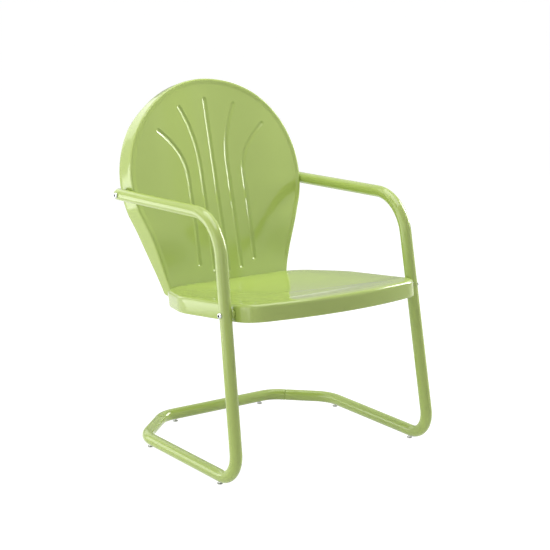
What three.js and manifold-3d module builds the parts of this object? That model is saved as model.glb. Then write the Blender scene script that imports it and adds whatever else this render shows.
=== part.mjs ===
// A spring lawn chair: a pressed steel seat and shell back on a bent tube cantilever frame.
// Millimetres, +X to the sitter's left, -Y to the front, +Z up. The origin is on the floor,
// under the middle of the chair.

import * as THREE from "three";
import { mergeVertices } from "three/addons/utils/BufferGeometryUtils.js";
import Module from "manifold-3d";

const wasm = await Module();
wasm.setup();

// Clearances
const restGap = 0.3;
const cutOverrun = 4;
const weldReach = 1e-4;

// Frame tube
const tubeDiameter = 28.6;
const tubeWall = 1.6;
const tubeRadius = tubeDiameter / 2;
const boreRadius = tubeRadius - tubeWall;
const tubeSides = 16;
const boreFlats = boreRadius * Math.cos(Math.PI / tubeSides);
const wideBendSteps = 8;
const slightBendSteps = 4;
const wideTurn = Math.PI / 3;

// Floor rails, measured at tube centrelines and out from the seat's front half width; the rails'
// axes are the working height zero, and the crossing of leg and rail is the working depth zero
const railOutsideSeat = 32.2;
const railRearOutsideSeat = 35.7;
const railLength = 407.3;
const tailSpacing = 336;
const tailSetback = 518.1;
const legFootBend = 59;
const railRearBend = 84;
const stretcherBend = 75;
const stretcherJointReach = 118;
const swageLength = 30;
const swageTaper = 2;
const swageWall = 1.5;
const swageRoot = 0.8;

// Legs and arms
const legRise = 586.7;
const legSetback = 101.4;
const armOutsideSeat = 14.1;
const armLength = 444.6;
const armDrop = 7.8;
const armBend = 105;

// Glides
const glideStand = 6.5;
const glideRadius = 6.75;
const glideDiscHeight = 3;
const glideStemRadius = 3.4;
const glideStemInside = 3;
const glideFrontSetback = 74;
const glideRearSetback = 383;
const glideStretcherSpacing = 262;

// Where the frame flexes: the springy foot of each leg
const flexHeight = 92;
const knuckleRadius = tubeRadius + 2;
const knuckleSides = 24;

// Pressed sheet
const sheet = 1.6;
const longestFacet = 70;
const rollSteps = 3;
const hemSteps = 2;
const seatBowSteps = 10;
const seatFrontSteps = 6;
const seatSideSteps = 4;
const seatRearSteps = 6;
const backTopSteps = 26;
const backSideSteps = 5;
const backFootSteps = 2;

// Seat pan, in its own plane
const seatTiltDegrees = 6.22;
const seatCentreSetback = 211;
const seatCentreHeight = 378.5;
const seatFrontReach = 245.4;
const seatFrontBow = 640;
const seatFrontBowHalf = 180;
const seatFrontHalf = 247;
const seatWaistWidening = 5;
const seatWaistReach = 78;
const seatRearHalf = 198;
const seatFrontCorner = 72;
const seatWaistCorner = 200;
const seatRearCorner = 92;
const skirtDepth = 40;
const seatRollRadius = 9;
const seatHemRadius = 3;
const dishDepth = 14;
const frontDishShare = 0.45;
const seatTailShares = [0.6, 0.98];
const seatRingShares = [0.3, 0.55, 0.78, 0.92, 1];

// Back panel, in its own plane; its heights run from the middle of its round top, which the arms'
// rear ends carry, and those of its lower half run up from its foot behind the seat
const backLeanDegrees = 14.41;
const backAheadOfArms = 24.6;
const backAboveArms = 24.6;
const backBeyondSeat = 4;
const backTaperDegrees = 17.4;
const backFootHalf = 171;
const backFootBelowSeat = 33;
const backFootCorner = 12;
const backWaist = 5;
const backRollRadius = 5;
const rimRise = 3;
const rimRiseWidth = 22;
const rimRiseStart = 43;
const rimRiseFull = 78;
const hollowDepth = 15;
const hollowHalf = 190;
const hollowStart = 52;
const hollowFull = 181;
const flangeDepth = 60;
const flangeDepthTop = 35;
const flangeTopStart = 128;
const flangeDepthFoot = 38;
const flangeFootTop = 165;
const flangeFootEnd = 20;
const footHemDepth = 9;
const backRingShares = [0.1, 0.22, 0.34, 0.46, 0.58, 0.69, 0.79, 0.88, 0.95, 1];

// Ribs pressed rearward into the back, grooves as seen from the front: where each pair stands,
// its top and foot, and how far it flares
const ribHalfWidth = 7;
const ribDepth = 2;
const ribSheet = 1.2;
const ribRootDepth = 0.4;
const ribSteps = 16;
const ribCrownShare = 0.5;
const ribEndShare = 0.5;
const flarePower = 2.2;
const middleRibTop = 198;
const middleRibFoot = 55;
const innerRibStand = 40;
const innerRibTop = 181;
const innerRibFoot = 60;
const innerFlareStart = 20;
const innerFlare = 40;
const outerRibStand = 82;
const outerRibTop = 125;
const outerRibFoot = 77;
const outerFlareStart = 0;
const outerFlare = 71.5;

// Fasteners
const boltRadius = 3.15;
const boltHole = boltRadius + restGap;
const boltSides = 12;
const headRadius = 6.8;
const headHeight = 4.2;
const socketRadius = 2.6;
const socketDepth = 2.4;
const nutHeight = 5.2;
const nutAcross = 11;
const boltTip = 2.5;
const nutClearance = 1;
const crownSteps = 3;
const legBoltHeight = 373;
const spacerRadius = 11;
const armBoltFromEnd = 13;
const backBoltSpacing = 120;
const backBoltAboveFoot = 16;

// Finish
const enamelColour = 0xa9c26b;
const zincColour = 0xc9ccd0;
const glideColour = 0x8f9296;

const fullTurn = 2 * Math.PI;
const radians = Math.PI / 180;
const seatTilt = seatTiltDegrees * radians;
const backLean = backLeanDegrees * radians;
const xAxis = new THREE.Vector3(1, 0, 0);
const yAxis = new THREE.Vector3(0, 1, 0);
const zAxis = new THREE.Vector3(0, 0, 1);
const seatFrame = new THREE.Matrix4().makeRotationX(-seatTilt)
  .setPosition(0, seatCentreSetback, seatCentreHeight);

// Sizes that follow from others: the frame and the back keep to the seat and the arms
const railFrontHalf = seatFrontHalf + railOutsideSeat;
const railRearHalf = seatFrontHalf + railRearOutsideSeat;
const armFrontHalf = seatFrontHalf + armOutsideSeat;
const seatWaistHalf = seatFrontHalf + seatWaistWidening;
const backRadius = seatFrontHalf + backBeyondSeat;
const backCentreSetback = legSetback + armLength - backAheadOfArms;
const backCentreHeight = legRise - armDrop + backAboveArms;
const backFrame = new THREE.Matrix4().makeRotationX(-backLean)
  .setPosition(0, backCentreSetback, backCentreHeight);
const seatRearRim = at(0, seatRearReach(0), 0).applyMatrix4(seatFrame)
  .applyMatrix4(backFrame.clone().invert());
const backFoot = seatRearRim.z - backFootBelowSeat;

const ribs = [
  { stand: 0, top: middleRibTop, foot: backFoot + middleRibFoot, flareStart: 0, flare: 0 },
  {
    stand: innerRibStand, top: innerRibTop, foot: backFoot + innerRibFoot,
    flareStart: innerFlareStart, flare: innerFlare,
  },
  {
    stand: outerRibStand, top: outerRibTop, foot: backFoot + outerRibFoot,
    flareStart: outerFlareStart, flare: outerFlare,
  },
];

const enamel = { color: enamelColour, roughness: 0.22, metalness: 0.0 };
const zinc = { color: zincColour, roughness: 0.25, metalness: 1.0 };
const glideSteel = { color: glideColour, roughness: 0.3, metalness: 1.0 };

function at(x, y, z) {
  return new THREE.Vector3(x, y, z);
}

function heading(from, to) {
  return to.clone().sub(from).normalize();
}

function smoothStep(from, to, value) {
  const share = THREE.MathUtils.clamp((value - from) / (to - from), 0, 1);
  return share * share * (3 - 2 * share);
}

function namedMesh(name, geometry, finish) {
  const mesh = new THREE.Mesh(geometry, new THREE.MeshStandardMaterial(finish));
  mesh.name = name;
  return mesh;
}

// Turns a closed geometry into a solid that can be cut and joined.
function toSolid(geometry) {
  const bare = geometry.clone();
  bare.deleteAttribute("normal");
  bare.deleteAttribute("uv");
  const merged = mergeVertices(bare, weldReach);
  const index = merged.index.array;
  const kept = [];
  for (let i = 0; i < index.length; i += 3) {
    const [a, b, c] = [index[i], index[i + 1], index[i + 2]];
    if (a !== b && b !== c && c !== a) kept.push(a, b, c);
  }
  return new wasm.Manifold(new wasm.Mesh({
    numProp: 3,
    vertProperties: new Float32Array(merged.attributes.position.array),
    triVerts: new Uint32Array(kept),
  }));
}

function toGeometry(solid) {
  const mesh = solid.getMesh();
  const geometry = new THREE.BufferGeometry();
  geometry.setAttribute("position", new THREE.BufferAttribute(mesh.vertProperties, 3));
  geometry.setIndex(new THREE.BufferAttribute(mesh.triVerts, 1));
  geometry.computeVertexNormals();
  return geometry;
}

// Stands a geometry made along Y on a point, pointing along a direction.
function aimed(geometry, point, direction) {
  const turn = new THREE.Quaternion().setFromUnitVectors(yAxis, direction);
  return geometry.clone().applyQuaternion(turn).translate(point.x, point.y, point.z);
}

function rod(from, to, radius, sides) {
  const geometry = new THREE.CylinderGeometry(radius, radius, from.distanceTo(to), sides);
  return aimed(geometry, from.clone().lerp(to, 0.5), heading(from, to));
}

// A hole's cutter: a rod that runs both ways from a point.
function drill(point, direction, reach) {
  const along = direction.clone().multiplyScalar(reach);
  return toSolid(rod(point.clone().sub(along), point.clone().add(along), boltHole, boltSides));
}

// A run of straight lengths and round bends. It has a station at each end and along each bend.
class BentRun extends THREE.Curve {
  constructor(corners, bendRadii) {
    super();
    this.stations = [];
    const last = corners.length - 1;
    this.stations.push({ point: corners[0], tangent: heading(corners[0], corners[1]) });
    for (let i = 1; i < last; i += 1) {
      this.addBend(corners[i - 1], corners[i], corners[i + 1], bendRadii[i - 1]);
    }
    this.stations.push({ point: corners[last], tangent: heading(corners[last - 1], corners[last]) });
  }

  addBend(before, corner, after, radius) {
    const incoming = heading(before, corner);
    const outgoing = heading(corner, after);
    const turn = incoming.angleTo(outgoing);
    const steps = turn > wideTurn ? wideBendSteps : slightBendSteps;
    const reach = radius * Math.tan(turn / 2);
    const inward = outgoing.clone().sub(incoming).normalize();
    const centre = corner.clone().addScaledVector(inward, radius / Math.cos(turn / 2));
    const axis = incoming.clone().cross(outgoing).normalize();
    const spoke = corner.clone().addScaledVector(incoming, -reach).sub(centre);
    for (let step = 0; step <= steps; step += 1) {
      const angle = (turn * step) / steps;
      this.stations.push({
        point: spoke.clone().applyAxisAngle(axis, angle).add(centre),
        tangent: incoming.clone().applyAxisAngle(axis, angle),
      });
    }
  }

  station(share) {
    return this.stations[Math.round(share * (this.stations.length - 1))];
  }

  getPoint(share, target = new THREE.Vector3()) {
    return target.copy(this.station(share).point);
  }

  getPointAt(share, target) {
    return this.getPoint(share, target);
  }

  getTangentAt(share, target = new THREE.Vector3()) {
    return target.copy(this.station(share).tangent);
  }
}

function ringShape(outer, inner) {
  const ring = new THREE.Shape();
  ring.absarc(0, 0, outer, 0, fullTurn, false);
  const bore = new THREE.Path();
  bore.absarc(0, 0, inner, 0, fullTurn, true);
  ring.holes.push(bore);
  return ring;
}

function bentTube(run) {
  return toSolid(new THREE.ExtrudeGeometry(ringShape(tubeRadius, boreRadius), {
    steps: run.stations.length - 1,
    curveSegments: tubeSides / 2,
    bevelEnabled: false,
    extrudePath: run,
  }));
}

// How far from the middle plane something lies that rests on the back's round side at a point,
// a standing distance off it.
function shellHalf(point, standing) {
  const height = point.clone().applyMatrix4(backFrame.clone().invert()).z;
  return Math.sqrt((backRadius + standing) ** 2 - height ** 2);
}

// The centreline corners of one side of the frame; side is +1 on the sitter's left.
function sideCorners(side) {
  const railFront = at(side * railFrontHalf, 0, 0);
  const railRear = at(side * railRearHalf, railLength, 0);
  const tail = at(side * tailSpacing / 2, tailSetback, 0);
  const armFront = at(side * armFrontHalf, legSetback, legRise);
  const armRear = at(0, legSetback + armLength, legRise - armDrop);
  armRear.x = side * shellHalf(armRear, restGap + tubeRadius);
  return { railFront, railRear, tail, armFront, armRear };
}

function legPoint(side, height) {
  const { railFront, armFront } = sideCorners(side);
  return railFront.clone().lerp(armFront, height / legRise);
}

function legHeading(side) {
  const { railFront, armFront } = sideCorners(side);
  return heading(railFront, armFront);
}

// The round knuckle that parts the springy foot from the leg above it.
function knuckle(side, radius) {
  const pivot = legPoint(side, flexHeight);
  const reach = at(2 * tubeDiameter, 0, 0);
  return toSolid(rod(pivot.clone().sub(reach), pivot.clone().add(reach), radius, knuckleSides));
}

// A block over the leg on one side of the pivot: sense is +1 above it and -1 below it.
function legBlock(side, sense) {
  const length = 3 * tubeDiameter;
  const middle = legPoint(side, flexHeight).addScaledVector(legHeading(side), sense * length / 2);
  const block = new THREE.BoxGeometry(length, length, length);
  return toSolid(aimed(block, middle, legHeading(side)));
}

function armBoltPoint(side) {
  const { armFront, armRear } = sideCorners(side);
  return armRear.clone().addScaledVector(heading(armRear, armFront), armBoltFromEnd);
}

function glideSpots(side) {
  const { railFront, railRear } = sideCorners(side);
  const onRail = (setback) => railFront.clone().lerp(railRear, setback / railLength);
  return {
    front: onRail(glideFrontSetback),
    rear: onRail(glideRearSetback),
    stretcher: at(side * glideStretcherSpacing / 2, tailSetback, 0),
  };
}

function glideHole(spot) {
  const radius = glideStemRadius + restGap;
  const mouth = spot.clone().addScaledVector(zAxis, -tubeRadius - cutOverrun);
  return toSolid(rod(mouth, spot, radius, boltSides));
}

// One arm and leg in a single bent tube, from the arm's rear end to the flexing foot.
function armAndLeg(side) {
  const { armFront, armRear } = sideCorners(side);
  const foot = legPoint(side, flexHeight - tubeDiameter);
  let solid = bentTube(new BentRun([armRear, armFront, foot], [armBend]));
  solid = solid.subtract(legBlock(side, -1)).subtract(knuckle(side, knuckleRadius + restGap));
  solid = solid.subtract(drill(legPoint(side, legBoltHeight), xAxis, tubeDiameter));
  return toGeometry(solid.subtract(drill(armBoltPoint(side), xAxis, tubeDiameter)));
}

// One floor rail: the foot of the leg, the front bend, the rail and the turned-in tail.
function floorRail(side) {
  const { railFront, railRear, tail } = sideCorners(side);
  const top = legPoint(side, flexHeight + tubeDiameter);
  const tailEnd = railRear.clone().addScaledVector(heading(railRear, tail), stretcherJointReach);
  let solid = bentTube(new BentRun([top, railFront, railRear, tailEnd], [legFootBend, railRearBend]));
  solid = solid.subtract(legBlock(side, 1).subtract(knuckle(side, knuckleRadius)));
  const spots = glideSpots(side);
  return toGeometry(solid.subtract(glideHole(spots.front)).subtract(glideHole(spots.rear)));
}

// The reduced end that plugs into a rail's tail. It grows out of the middle of the tube's wall.
function swagedEnd() {
  const wallMiddle = tubeRadius - tubeWall / 2;
  const plugOuter = boreFlats - restGap;
  const plugInner = plugOuter - swageWall;
  const plugEnd = swageTaper + swageLength;
  const profile = [
    [wallMiddle + swageRoot / 2, -swageTaper], [plugOuter, swageTaper], [plugOuter, plugEnd],
    [plugInner, plugEnd], [plugInner, swageTaper], [wallMiddle - swageRoot / 2, -swageTaper],
    [wallMiddle + swageRoot / 2, -swageTaper],
  ].map(([radius, along]) => new THREE.Vector2(radius, along));
  return new THREE.LatheGeometry(profile, tubeSides);
}

// The rear stretcher: a bent tube whose swaged ends sit in the two rails' tails.
function rearStretcher() {
  const right = sideCorners(-1);
  const left = sideCorners(1);
  const joint = ({ railRear, tail }) => railRear.clone()
    .addScaledVector(heading(railRear, tail), stretcherJointReach + restGap + swageTaper);
  const corners = [joint(right), right.tail, left.tail, joint(left)];
  const run = new BentRun(corners, [stretcherBend, stretcherBend]);
  let solid = bentTube(run);
  for (const { railRear, tail } of [right, left]) {
    const outward = heading(tail, railRear);
    solid = solid.add(toSolid(aimed(swagedEnd(), joint({ railRear, tail }), outward)));
  }
  for (const side of [-1, 1]) solid = solid.subtract(glideHole(glideSpots(side).stretcher));
  return toGeometry(solid);
}

// A screw-in glide: a disc on the floor and a stem up into the tube.
function glide() {
  const stemTop = glideStand + tubeWall + glideStemInside;
  const profile = [
    [0, 0], [glideRadius, 0], [glideRadius, glideDiscHeight], [glideStemRadius, glideDiscHeight],
    [glideStemRadius, stemTop], [0, stemTop],
  ].map(([radius, height]) => new THREE.Vector2(radius, height));
  return new THREE.LatheGeometry(profile, boltSides);
}

// A socket-headed bolt along Y: its head's underside at zero, its shank going down.
function bolt(shankLength) {
  const profile = [at(0, -shankLength, 0), at(boltRadius, -shankLength, 0), at(boltRadius, 0, 0)];
  for (let step = 0; step <= crownSteps; step += 1) {
    const angle = (Math.PI / 2) * (step / crownSteps);
    const radius = socketRadius + (headRadius - socketRadius) * Math.cos(angle);
    profile.push(at(radius, headHeight * Math.sin(angle), 0));
  }
  profile.push(at(socketRadius, headHeight - socketDepth, 0), at(0, headHeight - socketDepth, 0));
  return new THREE.LatheGeometry(profile.map(({ x, y }) => new THREE.Vector2(x, y)), boltSides);
}

// A hexagonal nut along Y, standing on zero.
function nut() {
  const corner = nutAcross / Math.sqrt(3);
  const hexagon = new THREE.Shape();
  for (let side = 0; side < 6; side += 1) {
    const angle = (fullTurn * side) / 6;
    const point = [corner * Math.cos(angle), corner * Math.sin(angle)];
    if (side === 0) hexagon.moveTo(...point);
    else hexagon.lineTo(...point);
  }
  hexagon.closePath();
  const bore = new THREE.Path();
  bore.absarc(0, 0, boltHole, 0, fullTurn, true);
  hexagon.holes.push(bore);
  const options = { depth: nutHeight, curveSegments: boltSides / 2, bevelEnabled: false };
  return new THREE.ExtrudeGeometry(hexagon, options).rotateX(-Math.PI / 2);
}

// A closed skin over a list of loops, each with the same number of points, from a start point
// to an end point.
function loftedSkin(start, loops, end) {
  const count = loops[0].length;
  const points = [start, ...loops.flat(), end];
  const index = [];
  for (let i = 0; i < count; i += 1) {
    const next = (i + 1) % count;
    index.push(0, 1 + i, 1 + next);
    for (let loop = 0; loop + 1 < loops.length; loop += 1) {
      const inner = 1 + loop * count;
      const outer = inner + count;
      index.push(inner + i, outer + i, outer + next, inner + i, outer + next, inner + next);
    }
    const lastLoop = 1 + (loops.length - 1) * count;
    index.push(lastLoop + i, points.length - 1, lastLoop + next);
  }
  const geometry = new THREE.BufferGeometry().setFromPoints(points);
  geometry.setIndex(index);
  return geometry;
}

// Samples an outline's round stretches, given as curves with their steps, anticlockwise. The
// straight stretches between them are cut into equal lengths. Each point has its outward normal.
function outlinePoints(stretches) {
  const corners = stretches.flatMap(([curve, steps]) => curve.getPoints(steps));
  const points = corners.flatMap((point, i) => {
    const next = corners[(i + 1) % corners.length];
    const lengths = Math.ceil(point.distanceTo(next) / longestFacet);
    return Array.from({ length: lengths }, (_, step) => point.clone().lerp(next, step / lengths));
  });
  return points.map((point, i) => {
    const before = points[(i + points.length - 1) % points.length];
    const after = points[(i + 1) % points.length];
    const tangent = heading(before, point).add(heading(point, after)).normalize();
    return { point, outward: new THREE.Vector2(tangent.y, -tangent.x) };
  });
}

// A rounded corner of an outline, which leaves and meets its straight neighbours smoothly.
function roundedCorner(before, corner, after, radius) {
  const incoming = heading(before, corner);
  const outgoing = heading(corner, after);
  const reach = radius * Math.tan(incoming.angleTo(outgoing) / 2);
  const start = corner.clone().addScaledVector(incoming, -reach);
  const end = corner.clone().addScaledVector(outgoing, reach);
  return new THREE.QuadraticBezierCurve(start, corner, end);
}

// A right-hand stretch of an outline and its mirror image, in anticlockwise order.
function mirroredStretches(right) {
  const flip = ({ x, y }) => new THREE.Vector2(-x, y);
  const left = right.map(([curve, steps]) => {
    return [new THREE.QuadraticBezierCurve(flip(curve.v2), flip(curve.v1), flip(curve.v0)), steps];
  });
  return { right, left: left.reverse() };
}

// The right half of the seat's front, in its own plane: where the bow ends, and the corner
// where the bow's last slope would meet the side.
function seatFront() {
  const bowSlope = Math.asin(seatFrontBowHalf / seatFrontBow);
  const bowSag = seatFrontBow * (1 - Math.cos(bowSlope));
  const bowEnd = new THREE.Vector2(seatFrontBowHalf, bowSag - seatFrontReach);
  const cornerRun = seatFrontHalf - seatFrontBowHalf;
  const front = new THREE.Vector2(seatFrontHalf, bowEnd.y + cornerRun * Math.tan(bowSlope));
  return { bowSlope, bowEnd, front };
}

// Half the seat's width beside a leg's bolt, or a little behind it.
function skirtHalf(behind) {
  const { front } = seatFront();
  const reach = legPoint(1, legBoltHeight).applyMatrix4(seatFrame.clone().invert()).y + behind;
  return THREE.MathUtils.mapLinear(reach, front.y, seatWaistReach, seatFrontHalf, seatWaistHalf);
}

// The seat's outline in its own plane: a bowed front, round corners and a narrowing rear.
function seatOutline() {
  const { bowSlope, bowEnd, front } = seatFront();
  const waist = new THREE.Vector2(seatWaistHalf, seatWaistReach);
  const rear = new THREE.Vector2(seatRearHalf, seatRearReach(0));
  const middle = new THREE.Vector2(0, seatRearReach(0));
  const bowCentre = seatFrontBow - seatFrontReach;
  const bow = new THREE.EllipseCurve(
    0, bowCentre, seatFrontBow, seatFrontBow, -Math.PI / 2 - bowSlope, -Math.PI / 2 + bowSlope,
  );
  const { right, left } = mirroredStretches([
    [roundedCorner(bowEnd, front, waist, seatFrontCorner), seatFrontSteps],
    [roundedCorner(front, waist, rear, seatWaistCorner), seatSideSteps],
    [roundedCorner(waist, rear, middle, seatRearCorner), seatRearSteps],
  ]);
  return outlinePoints([[bow, seatBowSteps], ...right, ...left]);
}

// How far behind the seat's middle its rear skirt stands, at a height in the seat's own frame:
// the skirt lies along the back panel's face.
function seatRearReach(height) {
  const setback = backCentreSetback - seatCentreSetback;
  const rise = backCentreHeight - seatCentreHeight;
  const offset = setback * Math.cos(backLean) - rise * Math.sin(backLean) - restGap;
  const between = backLean - seatTilt;
  return offset / Math.cos(between) + height * Math.tan(between);
}

// The dished surface: full depth behind the middle, shallower toward the bowed front.
function dishedHeight(share, y) {
  const full = smoothStep(-seatFrontReach, 0, y);
  const depth = dishDepth * (frontDishShare + (1 - frontDishShare) * full);
  return -depth * (1 - share * share) * (1 - share * share * share);
}

// A point on the seat's rolled skirt; the rear skirt is drawn in along the back panel.
function skirtPoint({ point, outward }, inset, height) {
  const flat = point.clone().addScaledVector(outward, -inset);
  const rear = seatRearReach(0);
  const rearShare = smoothStep(rear * seatTailShares[0], rear * seatTailShares[1], point.y);
  return at(flat.x, flat.y + rearShare * (seatRearReach(height) - rear), height);
}

// One face of the seat's sheet: loops from the middle out, over the roll and down the skirt.
function seatFace(outline, thickness) {
  const loops = seatRingShares.map((share) => outline.map((spot) => {
    const edge = skirtPoint(spot, seatRollRadius, 0);
    const y = edge.y * share;
    return at(edge.x * share, y, dishedHeight(share, y) - thickness);
  }));
  const roll = seatRollRadius - thickness;
  for (let step = 1; step <= rollSteps; step += 1) {
    const angle = (Math.PI / 2) * (step / rollSteps);
    const inset = seatRollRadius - roll * Math.sin(angle);
    const height = roll * Math.cos(angle) - seatRollRadius;
    loops.push(outline.map((spot) => skirtPoint(spot, inset, height)));
  }
  const hem = seatHemRadius - thickness;
  for (let step = 0; step <= hemSteps; step += 1) {
    const angle = (Math.PI / 2) * (step / hemSteps);
    const inset = seatHemRadius - hem * Math.cos(angle);
    const height = seatHemRadius - skirtDepth - hem * Math.sin(angle);
    loops.push(outline.map((spot) => skirtPoint(spot, inset, height)));
  }
  return { middle: at(0, 0, dishedHeight(0, 0) - thickness), loops };
}

function backBoltSpots() {
  const height = backFoot + backBoltAboveFoot;
  return [-backBoltSpacing, 0, backBoltSpacing].map((x) => at(x, 0, height).applyMatrix4(backFrame));
}

function backNormal() {
  return yAxis.clone().transformDirection(backFrame);
}

// The pressed seat pan, with its bolt holes.
function seatPan() {
  const outline = seatOutline();
  const top = seatFace(outline, 0);
  const under = seatFace(outline, sheet);
  const loops = [...top.loops, ...under.loops.reverse()];
  const skin = loftedSkin(top.middle, loops, under.middle).applyMatrix4(seatFrame);
  let solid = toSolid(skin);
  for (const side of [-1, 1]) {
    const spot = legPoint(side, legBoltHeight);
    spot.x = side * skirtHalf(0);
    solid = solid.subtract(drill(spot, xAxis, spacerRadius));
  }
  for (const spot of backBoltSpots()) solid = solid.subtract(drill(spot, backNormal(), spacerRadius));
  return toGeometry(solid);
}

// The back's outline: a round top that runs down in slightly waisted sides to a narrow foot.
function backOutline() {
  const taper = backTaperDegrees * radians;
  const shoulder = new THREE.Vector2(backRadius * Math.cos(taper), -backRadius * Math.sin(taper));
  const footMiddle = new THREE.Vector2(0, backFoot);
  const foot = new THREE.Vector2(backFootHalf, backFoot);
  const waist = shoulder.clone().lerp(foot, 0.5).add(new THREE.Vector2(-2 * backWaist, 0));
  const footCorner = roundedCorner(footMiddle, foot, waist, backFootCorner);
  const top = new THREE.EllipseCurve(0, 0, backRadius, backRadius, -taper, Math.PI + taper);
  const { right, left } = mirroredStretches([
    [footCorner, backFootSteps],
    [new THREE.QuadraticBezierCurve(footCorner.v2, waist, shoulder), backSideSteps],
  ]);
  return outlinePoints([...right, [top, backTopSteps], ...left]);
}

// How far the back's face stands forward of its flat plane: the hollow middle lies deepest.
function hollowForward(x, height) {
  const across = Math.min(Math.abs(x), hollowHalf) / hollowHalf;
  const depth = hollowDepth * smoothStep(backFoot + hollowStart, backFoot + hollowFull, height);
  return (depth * (1 - Math.cos(Math.PI * across))) / 2;
}

function rimForward(fromRim, height) {
  const rise = rimRise * smoothStep(backFoot + rimRiseStart, backFoot + rimRiseFull, height);
  return rise * (1 - smoothStep(0, rimRiseWidth, fromRim));
}

// The flange's depth behind the rim: it is deepest beside the arms and fades out at the foot.
function flangeAt(height) {
  const top = smoothStep(flangeTopStart, backRadius, height) * (flangeDepth - flangeDepthTop);
  const above = height - backFoot;
  const foot = smoothStep(flangeFootTop, flangeFootEnd, above) * (flangeDepth - flangeDepthFoot);
  const hem = smoothStep(flangeFootEnd, 0, above) * (flangeDepthFoot - footHemDepth);
  return flangeDepth - top - foot - hem;
}

// One face of the back's sheet: loops from the middle out, over the rim and back along the flange.
function backFace(outline, thickness) {
  const loops = backRingShares.map((share) => outline.map(({ point, outward }) => {
    const edge = point.clone().addScaledVector(outward, -backRollRadius);
    const spot = edge.clone().multiplyScalar(share);
    const fromRim = edge.distanceTo(spot);
    const forward = hollowForward(spot.x, spot.y) + rimForward(fromRim, spot.y);
    return at(spot.x, thickness - forward, spot.y);
  }));
  const roll = backRollRadius - thickness;
  const rimPoint = ({ point, outward }, inset, behind) => {
    const edge = point.clone().addScaledVector(outward, -backRollRadius);
    const forward = hollowForward(edge.x, edge.y) + rimForward(0, edge.y);
    const spot = point.clone().addScaledVector(outward, -inset);
    return at(spot.x, behind - forward, spot.y);
  };
  for (let step = 1; step <= rollSteps; step += 1) {
    const angle = (Math.PI / 2) * (step / rollSteps);
    const inset = backRollRadius - roll * Math.sin(angle);
    const behind = backRollRadius - roll * Math.cos(angle);
    loops.push(outline.map((spot) => rimPoint(spot, inset, behind)));
  }
  loops.push(outline.map((spot) => rimPoint(spot, thickness, flangeAt(spot.point.y))));
  return { middle: at(0, thickness, 0), loops };
}

// A rib's place across the panel at a height, and its slope there: upright below, flaring
// outward to its top.
function ribAcross(rib, height) {
  const rise = rib.top - rib.flareStart;
  const share = Math.max(height - rib.flareStart, 0) / rise;
  const x = rib.stand + rib.flare * share ** flarePower;
  const slope = (flarePower * rib.flare * share ** (flarePower - 1)) / rise;
  return { x, slope };
}

// A bar along a rib, from a root to a narrower crown, each at a depth behind the panel's face.
function ribBar(rib, side, halfWidth, rootDepth, crownDepth) {
  const loops = [];
  for (let step = 0; step <= ribSteps; step += 1) {
    const along = THREE.MathUtils.lerp(rib.foot, rib.top, step / ribSteps);
    const { x: middle, slope } = ribAcross(rib, along);
    const across = new THREE.Vector2(1, -slope).normalize();
    const taperShare = step === 0 || step === ribSteps ? ribEndShare : 1;
    const corner = (offset, depth) => {
      const x = middle + offset * taperShare * across.x;
      const z = along + offset * taperShare * across.y;
      return at(side * x, depth - hollowForward(x, z), z);
    };
    const crown = halfWidth * ribCrownShare;
    const reach = THREE.MathUtils.lerp(rootDepth, crownDepth, taperShare);
    loops.push([
      corner(-halfWidth, rootDepth), corner(-crown, reach),
      corner(crown, reach), corner(halfWidth, rootDepth),
    ]);
  }
  const ends = [loops[0], loops[ribSteps]].map((loop) => {
    const middle = at(0, 0, 0);
    for (const point of loop) middle.addScaledVector(point, 1 / loop.length);
    return middle;
  });
  const skin = loftedSkin(ends[0], loops, ends[1]);
  if (side < 0) skin.index.array.reverse();
  return toSolid(skin);
}

// The pressed shell back, with its five ribs, deep flange and bolt holes.
function backPanel() {
  const outline = backOutline();
  const front = backFace(outline, 0);
  const rear = backFace(outline, sheet);
  const loops = [...front.loops, ...rear.loops.reverse()];
  const skin = loftedSkin(front.middle, loops, rear.middle);
  let solid = toSolid(skin);
  for (const rib of ribs) {
    for (const side of rib.stand > 0 ? [-1, 1] : [1]) {
      const outer = ribBar(rib, side, ribHalfWidth, ribRootDepth, ribDepth + ribSheet);
      const inner = ribBar(rib, side, ribHalfWidth - ribSheet, -sheet, ribDepth);
      solid = solid.add(outer).subtract(inner);
    }
  }
  solid = solid.transform(backFrame.elements);
  for (const spot of backBoltSpots()) solid = solid.subtract(drill(spot, backNormal(), spacerRadius));
  for (const side of [-1, 1]) solid = solid.subtract(drill(armBoltPoint(side), xAxis, 2 * tubeDiameter));
  return toGeometry(solid);
}

// The round spacer between a leg and the seat's skirt, saddled to the tube.
function legSpacer(side) {
  const centre = legPoint(side, legBoltHeight);
  const inner = centre.clone().setX(side * (skirtHalf(spacerRadius) + restGap));
  let solid = toSolid(rod(inner, centre, spacerRadius, 2 * boltSides));
  const along = legHeading(side).multiplyScalar(2 * tubeDiameter);
  const saddle = tubeRadius + restGap;
  const tube = rod(centre.clone().sub(along), centre.clone().add(along), saddle, 2 * tubeSides);
  solid = solid.subtract(toSolid(tube));
  return toGeometry(solid.subtract(drill(centre, xAxis, 2 * tubeDiameter)));
}

function addPiece(group, name, geometry, finish) {
  group.add(namedMesh(name, geometry, finish));
}

// A bolt whose head sits on one point and a nut that closes on another.
function addBoltAndNut(group, names, headAt, nutAt) {
  const inward = heading(headAt, nutAt);
  const outward = inward.clone().negate();
  const shank = headAt.distanceTo(nutAt) + nutHeight + boltTip;
  addPiece(group, names.bolt, aimed(bolt(shank), headAt, outward), zinc);
  addPiece(group, names.nut, aimed(nut(), nutAt, inward), zinc);
}

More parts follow.
